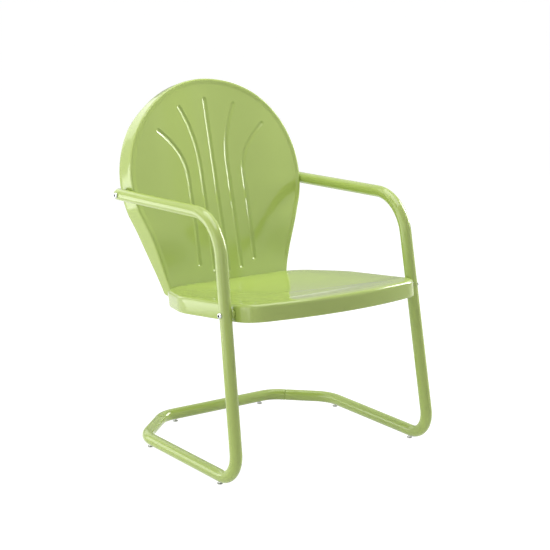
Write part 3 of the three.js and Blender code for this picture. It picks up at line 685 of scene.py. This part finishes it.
def rounded_corner(before, corner, after, radius):
    """Points around an outline's corner, which leave and meet its straight neighbours smoothly."""
    before, corner, after = (np.array(p, float) for p in (before, corner, after))
    incoming = (corner - before) / np.linalg.norm(corner - before)
    outgoing = (after - corner) / np.linalg.norm(after - corner)
    turn = math.acos(np.clip(incoming @ outgoing, -1, 1))
    reach = radius * math.tan(turn / 2)
    return curve_points(corner - incoming * reach, corner, corner + outgoing * reach)


def even_outline(right_half, count):
    """Evenly spaced points round an outline that is its right half and its mirror image, with the
    outward normal at each. The half runs anticlockwise from the bottom middle to the top middle."""
    left_half = right_half[::-1][1:] * (-1, 1)
    path = np.concatenate([right_half, left_half])
    steps = np.linalg.norm(np.diff(path, axis=0), axis=1)
    keep = np.concatenate([[True], steps > 1e-7])
    path, steps = path[keep], steps[steps > 1e-7]
    along = np.concatenate([[0], np.cumsum(steps)])
    stops = np.linspace(0, along[-1], count, endpoint=False)

    def place(stop):
        stop = np.mod(stop, along[-1])
        return np.stack([np.interp(stop, along, path[:, i]) for i in (0, 1)], 1)

    reach = along[-1] / count / 2
    slope = place(stops + reach) - place(stops - reach)
    normals = np.stack([slope[:, 1], -slope[:, 0]], 1)
    return place(stops), normals / np.linalg.norm(normals, axis=1)[:, None]


def seat_rear_reach(scene, height):
    """How far behind the seat's middle its rear skirt stands, at a height in the seat's frame."""
    seat, back = scene.chair_seat, scene.chair_back
    setback = back.centre_setback - seat.centre_setback
    rise = back.centre_height - seat.centre_height
    offset = setback * math.cos(back.lean) - rise * math.sin(back.lean) - seat.back_gap
    between = back.lean - seat.tilt
    return offset / math.cos(between) + height * math.tan(between)


def seat_outline(scene, count=420):
    """The seat's outline in its own plane: a bowed front, round corners and a narrowing rear."""
    seat = scene.chair_seat
    slope = math.asin(seat.front_bow_half / seat.front_bow)
    bow_y = seat.front_bow - seat.front_reach
    bow = arc_points((0, bow_y), seat.front_bow, -math.pi / 2, -math.pi / 2 + slope)
    bow_end = bow[-1]
    run = seat.front_half - seat.front_bow_half
    front = (seat.front_half, bow_end[1] + run * math.tan(slope))
    waist = (seat.waist_half, seat.waist_reach)
    rear_y = seat_rear_reach(scene, 0)
    rear, middle = (seat.rear_half, rear_y), (0, rear_y)
    half = np.concatenate([
        bow,
        rounded_corner(bow_end, front, waist, seat.front_corner),
        rounded_corner(front, waist, rear, seat.waist_corner),
        rounded_corner(waist, rear, middle, seat.rear_corner),
        np.linspace((seat.rear_half - seat.rear_corner, rear_y), middle, 40),
    ])
    return even_outline(half, count)


class BuildSeatPan(bpy.types.Operator):
    """Presses the seat: a dished face, a rolled rim and a deep skirt with a curled hem"""

    bl_idname = "lawn_chair.seat_pan"
    bl_label = "Seat pan"

    def execute(self, context):
        scene, seat = context.scene, context.scene.chair_seat
        outline, outward = seat_outline(scene)
        rear = seat_rear_reach(scene, 0)

        def skirt(inset, height):
            """A loop of the rolled skirt; behind, the skirt is drawn in along the back panel."""
            flat = outline - outward * inset
            behind = smooth_step(0.6 * rear, 0.98 * rear, outline[:, 1])
            shift = behind * (seat_rear_reach(scene, height) - rear)
            return np.column_stack([flat[:, 0], flat[:, 1] + shift, np.full(len(flat), height)])

        def dished(portion, y):
            """Height of the face at a portion of the way from its middle to its edge."""
            full = smooth_step(-seat.front_reach, 0, y)
            depth = seat.dish * (seat.front_dish + (1 - seat.front_dish) * full)
            return -depth * (1 - portion ** 2) * (1 - portion ** 3)

        def face_loops(thickness):
            """The face from its middle out, over the roll and down the skirt to the hem."""
            edge = skirt(seat.roll, 0)
            loops = []
            for portion in [*np.linspace(0.04, 0.9, 22), *np.linspace(0.92, 1, 6)]:
                x, y = edge[:, 0] * portion, edge[:, 1] * portion
                loops.append(np.column_stack([x, y, dished(portion, y) - thickness]))
            roll, hem = seat.roll - thickness, seat.hem - thickness
            hem_height = seat.hem - seat.skirt_depth
            loops += [skirt(seat.roll - roll * math.sin(t), roll * math.cos(t) - seat.roll)
                      for t in np.radians(np.linspace(9, 90, 10))]
            loops += [skirt(thickness, height)
                      for height in np.linspace(-seat.roll, hem_height, 6)[1:]]
            loops += [skirt(seat.hem - hem * math.cos(t), hem_height - hem * math.sin(t))
                      for t in np.radians(np.linspace(15, 210, 14))]
            return loops

        loops = face_loops(0) + face_loops(seat.sheet)[::-1]
        middle = float(dished(0, np.array(0.0)))
        points, faces = lofted_skin(loops, (0, 0, middle), (0, 0, middle - seat.sheet))
        placed = from_plane(points, seat.tilt, seat.centre_setback, seat.centre_height)
        add_piece("pressed_seat_pan", (placed, faces), "seat_frame", ["seat_pan"], "green_enamel")
        return {"FINISHED"}


def back_outline(scene, count=480):
    """The back's outline: a round top that runs down in slightly waisted sides to a narrow foot."""
    back = scene.chair_back
    shoulder = back.radius * np.array((math.cos(back.taper), -math.sin(back.taper)))
    foot_middle, foot = np.array((0, -back.foot)), np.array((back.foot_half, -back.foot))
    waist = (shoulder + foot) / 2 - (back.waist, 0)
    corner = rounded_corner(foot_middle, foot, waist, back.foot_corner)
    half = np.concatenate([
        np.linspace(foot_middle, corner[0], 40),
        corner,
        curve_points(corner[-1], waist, shoulder),
        arc_points((0, 0), back.radius, -back.taper, math.pi / 2),
    ])
    return even_outline(half, count)


def from_ribs(scene, points):
    """Each point's distance from the nearest rib's centreline, for points near a rib. A first
    guess at a point's own height is moved along the rib's slope until it lies square to it."""
    rib, foot = scene.chair_ribs, -scene.chair_back.foot
    runs = [(0.0, rib.middle_top, foot + rib.middle_foot, 0.0, 0.0),
            (rib.inner_stand, rib.inner_top, foot + rib.inner_foot, rib.inner_start, rib.inner_flare),
            (rib.outer_stand, rib.outer_top, foot + rib.outer_foot, rib.outer_start, rib.outer_flare)]
    across, height = np.abs(points[:, 0]), points[:, 1]
    nearest = np.full(len(points), np.inf)
    for stand, top, low, start, flare in runs:
        spot = np.clip(height, low, top)
        for _ in range(3):
            rise = np.clip((spot - start) / (top - start), 0, 1)
            slope = flare * rib.flare_power * rise ** (rib.flare_power - 1) / (top - start)
            off = across - stand - flare * rise ** rib.flare_power
            spot = np.clip(spot + (slope * off + height - spot) / (1 + slope ** 2), low, top)
        rise = np.clip((spot - start) / (top - start), 0, 1)
        off = across - stand - flare * rise ** rib.flare_power
        nearest = np.minimum(nearest, np.hypot(off, height - spot))
    return nearest


def rib_profile(away, rounding):
    """Depth of a rib's groove, 1 at its bottom and 0 at its edge, with even flanks between round
    turns. The distance from the rib's centreline is given in half widths."""
    t = np.clip(away, 0, 1)
    bottom, edge = np.minimum(t, rounding), np.clip(t - 1 + rounding, 0, rounding)
    fall = t - bottom + bottom ** 2 / (2 * rounding) - edge ** 2 / (2 * rounding)
    return 1 - fall / (1 - rounding)


def middle_swell(back, across, height):
    """How far the face swells forward toward its middle."""
    side = np.minimum(np.abs(across), back.swell_half) / back.swell_half
    full = smooth_step(back.swell_start - back.foot, back.swell_full - back.foot, height)
    return back.swell * full * (1 - np.cos(math.pi * side)) / 2


def rim_lift(back, inside, height):
    """How far the face rises toward its rim, for a distance inside the rim."""
    full = smooth_step(back.rim_start - back.foot, back.rim_full - back.foot, height)
    return back.rim_rise * full * (1 - smooth_step(0, back.rim_width, inside))


def flange_depth(back, height):
    """The flange's depth: full beside the arms, less at the top and a mere hem across the foot."""
    above = height + back.foot
    top = smooth_step(back.flange_top_start, back.radius, height)
    low = smooth_step(-back.flange_foot_top, -back.flange_foot_end, -above)
    hem = smooth_step(-back.flange_foot_end, 0, -above)
    return (back.flange - top * (back.flange - back.flange_top)
            - low * (back.flange - back.flange_foot) - hem * (back.flange_foot - back.foot_hem))


def ribbed_web(scene, edge):
    """The face laid flat, from its middle to the edge loop, with a finer web along the ribs. Gives
    its points and faces, and the number of the edge loop's first point."""
    portions = np.linspace(0.03, 1, 42)
    points, faces = lofted_skin(
        [np.column_stack([edge * portion, np.zeros(len(edge))]) for portion in portions], (0, 0, 0))
    web = bmesh.new()
    corners = [web.verts.new(point) for point in points.tolist()]
    for face in faces:
        web.faces.new([corners[i] for i in face])

    def spots():
        web.verts.ensure_lookup_table()
        web.verts.index_update()
        return np.array([v.co[:2] for v in web.verts])

    for near in (11 * MILLIMETRE, 8 * MILLIMETRE):
        close = from_ribs(scene, spots()) < near
        cut = [e for e in web.edges if close[e.verts[0].index] or close[e.verts[1].index]]
        bmesh.ops.subdivide_edges(web, edges=cut, cuts=1, use_grid_fill=True)
    flat = spots()
    faces = [[v.index for v in f.verts] for f in web.faces]
    web.free()
    return flat, faces, (len(portions) - 1) * len(edge)


class BuildBackPanel(bpy.types.Operator):
    """Presses the shell back: a swelling face with five grooves, a raised rim and a deep flange"""

    bl_idname = "lawn_chair.back_panel"
    bl_label = "Back panel"

    def execute(self, context):
        scene, back, ribs = context.scene, context.scene.chair_back, context.scene.chair_ribs
        outline, outward = back_outline(scene)
        edge = outline - outward * back.roll
        edge_bearing = np.mod(np.arctan2(edge[:, 1], edge[:, 0]), FULL_TURN)
        spokes = np.argsort(edge_bearing)
        bearings, reaches = edge_bearing[spokes], np.linalg.norm(edge, axis=1)[spokes]

        def inside_edge(points):
            """How far inside the face's edge the points lie, each along its own spoke."""
            bearing = np.mod(np.arctan2(points[:, 1], points[:, 0]), FULL_TURN)
            reach = np.interp(bearing, bearings, reaches, period=FULL_TURN)
            return reach - np.linalg.norm(points, axis=1)

        def forward(points):
            """How far the face stands forward of its flat plane at points of that plane."""
            across, height = points.T
            away = from_ribs(scene, points) / ribs.half_width
            inside = np.maximum(inside_edge(points), 0)
            return (middle_swell(back, across, height) + rim_lift(back, inside, height)
                    - ribs.depth * rib_profile(away, ribs.rounding))

        edge_forward = middle_swell(back, *edge.T) + rim_lift(back, 0, edge[:, 1])

        def rim_loop(inset, behind):
            spot = outline - outward * inset
            return np.column_stack([spot[:, 0], behind - edge_forward, spot[:, 1]])

        def flange_loops(thickness):
            """From the face's rim over the roll, back along the flange and round its hem."""
            roll, hem = back.roll - thickness, back.hem - thickness
            deep = flange_depth(back, outline[:, 1])
            loops = [rim_loop(back.roll - roll * math.sin(t), back.roll - roll * math.cos(t))
                     for t in np.radians(np.linspace(10, 90, 9))]
            loops += [rim_loop(thickness, back.roll + (deep - back.hem - back.roll) * t)
                      for t in (0.25, 0.5, 0.75, 1)]
            loops += [rim_loop(back.hem - hem * math.cos(t), deep - back.hem + hem * math.sin(t))
                      for t in np.radians(np.linspace(20, 200, 10))]
            return loops

        spots, web_faces, edge_start = ribbed_web(scene, edge)
        front = np.column_stack([spots[:, 0], -forward(spots), spots[:, 1]])
        rear = front + (0, back.sheet, 0)
        band = flange_loops(0) + flange_loops(back.sheet)[::-1]
        total, count = len(spots), len(outline)
        faces = web_faces + [[total + i for i in reversed(face)] for face in web_faces]
        bases = [edge_start, *(2 * total + i * count for i in range(len(band))),
                 total + edge_start]
        for a, b in zip(bases, bases[1:]):
            faces += strip_faces(a, b, count)
        placed = from_plane(np.concatenate([front, rear, *band]), back.lean, back.centre_setback,
                            back.centre_height)
        panel = add_piece("pressed_back_panel", (placed, faces), "seat_frame", ["back_panel"],
                          "green_enamel", crease=180)

        # The face's own slope gives its normals, so that reflections run clean across the ribs.
        step = 0.3 * MILLIMETRE
        across, up = [(forward(spots + move) - forward(spots - move)) / (2 * step)
                      for move in (np.array((step, 0)), np.array((0, step)))]
        slope = np.column_stack([across, np.ones(total), up])
        slope /= np.linalg.norm(slope, axis=1)[:, None]
        picks = np.flatnonzero(inside_edge(spots) > 0.5 * MILLIMETRE)
        rearward = slope[picks] @ plane_turn(back.lean)
        normals = np.array([v.vector for v in panel.data.vertex_normals])
        normals[picks] = -rearward
        normals[total + picks] = rearward
        panel.data.normals_split_custom_set_from_vertices(normals.tolist())
        return {"FINISHED"}


# Fasteners and feet


def ring_of(radius, height):
    """A loop about Z, whose radius is one number or one for each bearing."""
    return np.column_stack([radius * np.cos(RING_BEARINGS), radius * np.sin(RING_BEARINGS),
                            np.full(RING_SIDES, height)])


def turned_loops(profile):
    """Loops of a turned shape about Z from (radius, height) pairs."""
    return [ring_of(radius, height) for radius, height in profile]


def hexagon_reach(half_across):
    """Distance from a hexagon's middle to its side, for each bearing of a loop."""
    return half_across / np.cos(np.mod(RING_BEARINGS, math.pi / 3) - math.pi / 6)


def aimed(skin, place, direction):
    """A skin about Z moved to a place and turned to a direction."""
    points, faces = skin
    turn = np.array(Vector((0, 0, 1)).rotation_difference(Vector(direction)).to_matrix())
    return np.asarray(points) @ turn.T + np.array(place), faces


def bolt_skin(size, shank_length):
    """A button head with a hexagon socket, its underside at zero and its shank going down."""
    edge, top, deep = size.edge, size.head_height, size.socket_depth
    profile = [(size.shank - edge, -shank_length), (size.shank, edge - shank_length),
               (size.shank, 0), (size.head - edge / 2, 0), (size.head, edge)]
    # The crown starts just past the chamfered corners of the socket.
    flat = size.socket * 1.35
    profile += [(flat + (size.head - flat) * math.cos(t), edge + (top - edge) * math.sin(t))
                for t in np.radians(np.linspace(10, 90, 9))]
    # The socket has a chamfered mouth, straight sides and a shallow cone at its bottom.
    hexagon, chamfer = hexagon_reach(size.socket), size.socket_chamfer
    loops = turned_loops(profile)
    loops += [ring_of(hexagon + chamfer, top), ring_of(hexagon, top - chamfer),
              ring_of(hexagon, top - deep), ring_of(hexagon * 0.5, top - deep * 1.1)]
    return lofted_skin(loops, (0, 0, -shank_length), (0, 0, top - deep * 1.15))


def nut_skin(size):
    """A hexagonal nut with chamfered corners, standing on zero."""
    half, height = size.nut_across / 2, size.nut_height
    chamfer = [rise * MILLIMETRE for rise in (0, 0.25, 0.5, 0.8)]
    # The chamfer is a cone of 30 degrees, which goes out 1.73 for each 1 that it rises.
    corners = [np.minimum(hexagon_reach(half), half * 0.95 + rise * 1.73) for rise in chamfer]
    loops = [ring_of(radii, rise) for radii, rise in zip(corners, chamfer)]
    loops += [ring_of(radii, height - rise) for radii, rise in zip(corners[::-1], chamfer[::-1])]
    bore, mouth = size.shank + size.nut_clearance, size.nut_mouth
    loops += turned_loops([(bore + mouth, height), (bore, height - mouth), (bore, mouth),
                           (bore + mouth, 0)])
    return lofted_skin(loops, ring=True)


def add_bolt_and_nut(scene, bolt, nut, head_at, nut_at):
    """A bolt whose head sits on one point and a nut that closes on the other, for two CAD nodes."""
    size = scene.chair_fasteners
    inward = (nut_at - head_at).normalized()
    shank = (nut_at - head_at).length + size.nut_height + size.tip
    for name, node, skin, place, way in (
            (f"button_{bolt}", bolt, bolt_skin(size, shank), head_at, -inward),
            (f"hexagon_{nut}", nut, nut_skin(size), nut_at, inward)):
        add_piece(name, aimed(skin, place, way), "seat_frame", [node], "bright_zinc")


class BuildBoltsAndNuts(bpy.types.Operator):
    """Makes the button-head bolts and nuts of the legs, the arms and the back's foot"""

    bl_idname = "lawn_chair.bolts_and_nuts"
    bl_label = "Bolts and nuts"

    def execute(self, context):
        scene = context.scene
        size, back = scene.chair_fasteners, scene.chair_back
        for word, side in SIDES.items():
            for place in ("leg", "arm"):
                bolt, nut = f"{place}_bolt_{word}", f"{place}_nut_{word}"
                head_at, nut_at = node_middle(bolt), node_middle(bolt)
                head_at.x = side_face(bolt, side) - side * size.head_height
                nut_at.x = side_face(nut, side)
                add_bolt_and_nut(scene, bolt, nut, head_at, nut_at)
        normal = Vector((0, math.cos(back.lean), -math.sin(back.lean)))
        for word, sense in (("right", -1), ("middle", 0), ("left", 1)):
            seat_on = Vector(from_plane(
                [(sense * size.back_spacing, 0, size.back_foot - back.foot)],
                back.lean, back.centre_setback, back.centre_height)[0])
            add_bolt_and_nut(scene, f"back_bolt_{word}", f"back_nut_{word}",
                             seat_on + normal * (back.sheet + size.seating),
                             seat_on - normal * (back.sheet + 2 * size.seating))
        return {"FINISHED"}


class BuildLegSpacers(bpy.types.Operator):
    """Turns the round spacers between legs and skirt, with an end saddled to the tube"""

    bl_idname = "lawn_chair.leg_spacers"
    bl_label = "Leg spacers"

    def execute(self, context):
        scene, size = context.scene, context.scene.chair_fasteners
        saddle = scene.chair_tube.diameter / 2 + size.seating
        for word, side in SIDES.items():
            node = f"leg_spacer_{word}"
            middle, flat_face = node_middle(node), side_face(node, -side)
            c = side_corners(scene, side)
            heading = (c["arm_front"] - c["rail_front"]).normalized()
            axis_at = Vector(to_frame(leg_point(scene, side, middle.z - ORIGIN.z)))

            def loop(radius, on_tube, offset):
                """A loop about X, on the tube's saddle or on the flat face, drawn off by an offset."""
                points = []
                for t in RING_BEARINGS:
                    y, z = middle.y + radius * math.cos(t), middle.z + radius * math.sin(t)
                    x = flat_face + side * offset
                    if on_tube:
                        spot = Vector((axis_at.x, y, z)) - axis_at
                        along = heading * spot.dot(heading)
                        bulge = math.sqrt(saddle ** 2 - (spot - along).length_squared)
                        x = (axis_at + along).x - side * (bulge + offset)
                    points.append((x, y, z))
                return points

            def rounded_edge(rounding, on_tube, degrees):
                return [loop(size.spacer - rounding * (1 - math.sin(t)), on_tube,
                             rounding * (1 - math.cos(t))) for t in np.radians(degrees)]

            loops = rounded_edge(size.spacer_edge, False, (0, 30, 60, 90))
            loops += rounded_edge(size.spacer_edge / 2, True, (90, 60, 30, 0))
            bore = size.shank + size.seating
            loops += [loop(bore, True, 0), loop(bore, False, 0)]
            add_piece(f"saddled_{node}", lofted_skin(loops, ring=True), "seat_frame", [node],
                      "green_enamel")
        return {"FINISHED"}


def glide_skin(size, height):
    """A glide about Z: a disc with a round lower edge and a domed top, and its stem."""
    radius, disc, stem = size.glide, size.glide_disc, size.glide_stem
    edge = disc * 0.45
    profile = [(radius - edge * (1 - math.sin(t)), edge * (1 - math.cos(t)))
               for t in np.radians(np.linspace(0, 90, 7))]
    profile += [(radius, disc * 0.6), (radius * 0.97, disc * 0.8), (radius * 0.86, disc * 0.93)]
    profile += [(stem * 1.35, disc), (stem * 1.1, disc * 1.06), (stem, disc * 1.25)]
    profile += [(stem, height - stem * 0.1), (stem * 0.9, height)]
    return lofted_skin(turned_loops(profile), (0, 0, 0), (0, 0, height))


class BuildGlides(bpy.types.Operator):
    """Turns the six screw-in floor glides"""

    bl_idname = "lawn_chair.glides"
    bl_label = "Glides"

    def execute(self, context):
        for place in ("front", "rear", "stretcher"):
            for word in SIDES:
                node = f"glide_{place}_{word}"
                low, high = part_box(node)
                middle = node_middle(node)
                skin = glide_skin(context.scene.chair_fasteners, high[2] - low[2])
                add_piece(f"screw_in_{node}", aimed(skin, (middle.x, middle.y, low[2]), (0, 0, 1)),
                          "base", [node], "glide_steel")
        return {"FINISHED"}


# Studio


def background_rays(tree):
    """A socket that is 1 for the rays that show the background: camera, glossy, transmission."""
    path = add_node(tree, "ShaderNodeLightPath")
    seen = path.outputs["Is Camera Ray"]
    for kind in ("Is Glossy Ray", "Is Transmission Ray"):
        either = add_node(tree, "ShaderNodeMath", {"operation": "MAXIMUM"},
                          links={0: seen, 1: path.outputs[kind]})
        seen = either.outputs["Value"]
    return seen


def pale_studio_floor(studio):
    """Matt painted floor, faintly scuffed. Where it is seen, straight or in gloss, it is nearly
    white and keeps a faint shadow of the chair."""
    material, tree, surface = fresh_material("pale studio floor")
    place = add_node(tree, "ShaderNodeTexCoord")
    scuff = add_node(tree, "ShaderNodeTexNoise", values={"Scale": 1 / studio.scuff, "Detail": 2.0},
                     links={"Vector": place.outputs["Object"]})
    pale = add_node(tree, "ShaderNodeMix", {"data_type": "RGBA"},
                    {"A": tuple(studio.floor), "B": tuple(studio.floor_pale)},
                    {"Factor": scuff.outputs["Fac"]})
    matt = add_node(tree, "ShaderNodeBsdfDiffuse", links={"Color": pale.outputs["Result"]})
    faint = add_node(tree, "ShaderNodeBsdfDiffuse", values={"Color": tuple(studio.floor_seen)})
    glow = add_node(tree, "ShaderNodeEmission", values={"Strength": studio.floor_glow})
    white = add_node(tree, "ShaderNodeAddShader",
                     links={0: faint.outputs["BSDF"], 1: glow.outputs["Emission"]})
    mixed = add_node(tree, "ShaderNodeMixShader",
                     links={0: background_rays(tree), 1: matt.outputs["BSDF"],
                            2: white.outputs["Shader"]})
    tree.links.new(mixed.outputs["Shader"], surface)
    return material


def grey_studio_card(studio):
    """Grey card, which runs a little paler toward its right end."""
    material, tree, surface = fresh_material("grey studio card")
    place = add_node(tree, "ShaderNodeTexCoord")
    shade = add_node(tree, "ShaderNodeTexGradient", links={"Vector": place.outputs["Generated"]})
    grey = add_node(tree, "ShaderNodeMix", {"data_type": "RGBA"},
                    {"A": tuple(studio.card), "B": tuple(studio.card_pale)},
                    {"Factor": shade.outputs["Fac"]})
    glow = add_node(tree, "ShaderNodeEmission", links={"Color": grey.outputs["Result"]})
    tree.links.new(glow.outputs["Emission"], surface)
    return material


def even_studio_light(studio):
    """A world that gives a little even light from all round and is white where it is seen."""
    world = bpy.data.worlds.new("even studio light")
    world.use_nodes = True
    tree = world.node_tree
    tree.nodes.clear()
    output = add_node(tree, "ShaderNodeOutputWorld")
    even, white = [add_node(tree, "ShaderNodeBackground",
                            values={"Color": (1, 1, 1, 1), "Strength": strength})
                   for strength in (studio.fill, 1.0)]
    sky = add_node(tree, "ShaderNodeMixShader",
                   links={0: background_rays(tree), 1: even.outputs["Background"],
                          2: white.outputs["Background"]})
    tree.links.new(sky.outputs["Shader"], output.inputs["Surface"])
    return world


# Each soft lamp's width, height and place in metres. Its power is the studio setting of its name.
LAMPS = {
    "key": (1.2, 1.8, (3.0, -0.25, 1.75)),
    "overhead": (2.2, 2.2, (0, 0, 2.8)),
    "left": (2.2, 2.2, (-2.8, -0.2, 1.1)),
    "front_left": (1.4, 1.4, (-2.6, -3.1, 1.5)),
    "front_right": (1.6, 1.6, (1.6, -2.7, 1.3)),
    "rear": (1.6, 1.6, (0, 3.0, 1.4)),
    "rear_high": (1.6, 1.6, (-1.6, 1.5, 2.4)),
    "rear_low": (1.4, 1.4, (-1.3, 1.0, 0.12)),
}
LAMP_AIM = Vector((0, 0, 0.5))


def soft_lamp(name, watts, width, height, place):
    """A soft lamp that faces the chair's middle and stays out of the picture."""
    light = bpy.data.lights.new(name, "AREA")
    light.energy, light.shape, light.size, light.size_y = watts, "RECTANGLE", width, height
    lamp = scene_object(name, light)
    lamp.location = place
    lamp.rotation_euler = (LAMP_AIM - Vector(place)).to_track_quat("-Z", "Y").to_euler()
    lamp.visible_camera = False


def photo_camera(studio):
    """The camera that sees the chair as the photograph does."""
    data = bpy.data.cameras.new("photo_view")
    data.sensor_fit, data.sensor_width = "HORIZONTAL", 36
    data.lens = studio.focal_pixels / studio.frame_pixels * data.sensor_width
    # The view reaches past the floor's far corners.
    data.clip_end = 2 * studio.floor_reach
    camera = scene_object("photo_view", data)
    camera.location = studio.camera_place
    camera.rotation_euler = (math.pi / 2 - studio.camera_pitch, 0, -studio.camera_turn)
    return camera


class BuildStudio(bpy.types.Operator):
    """Sets up the pale floor, the grey card, the even light, the soft lamps and the camera"""

    bl_idname = "lawn_chair.studio"
    bl_label = "Studio"

    def execute(self, context):
        scene, studio = context.scene, context.scene.chair_studio
        scene.view_settings.view_transform = "Standard"

        reach = studio.floor_reach
        corners = [(-reach, -reach, 0), (reach, -reach, 0), (reach, reach, 0), (-reach, reach, 0)]
        floor = mesh_object("studio_floor", corners, [(0, 1, 2, 3)], pale_studio_floor(studio))

        # The grey card is seen only in the gloss of the enamel, where it darkens the seat.
        away, columns = studio.card_distance, 10
        foot = [(away * math.sin(t), away * math.cos(t), 0)
                for t in np.linspace(0, studio.card_spread, columns)]
        head = [(x, y, studio.card_height) for x, y, _ in foot]
        faces = [(i, i + 1, i + 1 + columns, i + columns) for i in range(columns - 1)]
        card = mesh_object("studio_card", foot + head, faces, grey_studio_card(studio))
        card.visible_camera = card.visible_diffuse = card.visible_shadow = False

        scene.world = even_studio_light(studio)
        for name, (width, height, place) in LAMPS.items():
            soft_lamp(name, getattr(studio, name), width, height, place)
        scene.camera = photo_camera(studio)
        return {"FINISHED"}


# Add-on

BUILD_STEPS = (BuildFrameTubes, BuildRearStretcher, BuildSeatPan, BuildBackPanel,
               BuildBoltsAndNuts, BuildLegSpacers, BuildGlides, BuildStudio)
SETTINGS = {"chair_tube": TubeSizes, "chair_seat": SeatSizes, "chair_back": BackSizes,
            "chair_ribs": RibSizes, "chair_fasteners": FastenerSizes,
            "chair_finish": FinishColours, "chair_studio": StudioSettings}


class LawnChairPanel(bpy.types.Panel):
    """Lists the chair's sizes, its finishes and the steps that build it"""

    bl_idname = "VIEW3D_PT_lawn_chair"
    bl_label = "Spring lawn chair"
    bl_space_type = "VIEW_3D"
    bl_region_type = "UI"
    bl_category = "Lawn chair"

    def draw(self, context):
        for step in BUILD_STEPS:
            self.layout.operator(step.bl_idname)
        for name, group in SETTINGS.items():
            box = self.layout.box()
            box.label(text=group.__doc__)
            for key in group.__annotations__:
                box.prop(getattr(context.scene, name), key)


CLASSES = (*SETTINGS.values(), *BUILD_STEPS, LawnChairPanel)


def register():
    for cls in CLASSES:
        bpy.utils.register_class(cls)
    for name, group in SETTINGS.items():
        setattr(bpy.types.Scene, name, PointerProperty(type=group))


def unregister():
    for name in SETTINGS:
        delattr(bpy.types.Scene, name)
    for cls in reversed(CLASSES):
        bpy.utils.unregister_class(cls)


def main():
    register()
    bpy.ops.lawn_chair.frame_tubes()
    bpy.ops.lawn_chair.rear_stretcher()
    bpy.ops.lawn_chair.seat_pan()
    bpy.ops.lawn_chair.back_panel()
    bpy.ops.lawn_chair.bolts_and_nuts()
    bpy.ops.lawn_chair.leg_spacers()
    bpy.ops.lawn_chair.glides()
    bpy.ops.lawn_chair.studio()


if __name__ == "__main__":
    main()
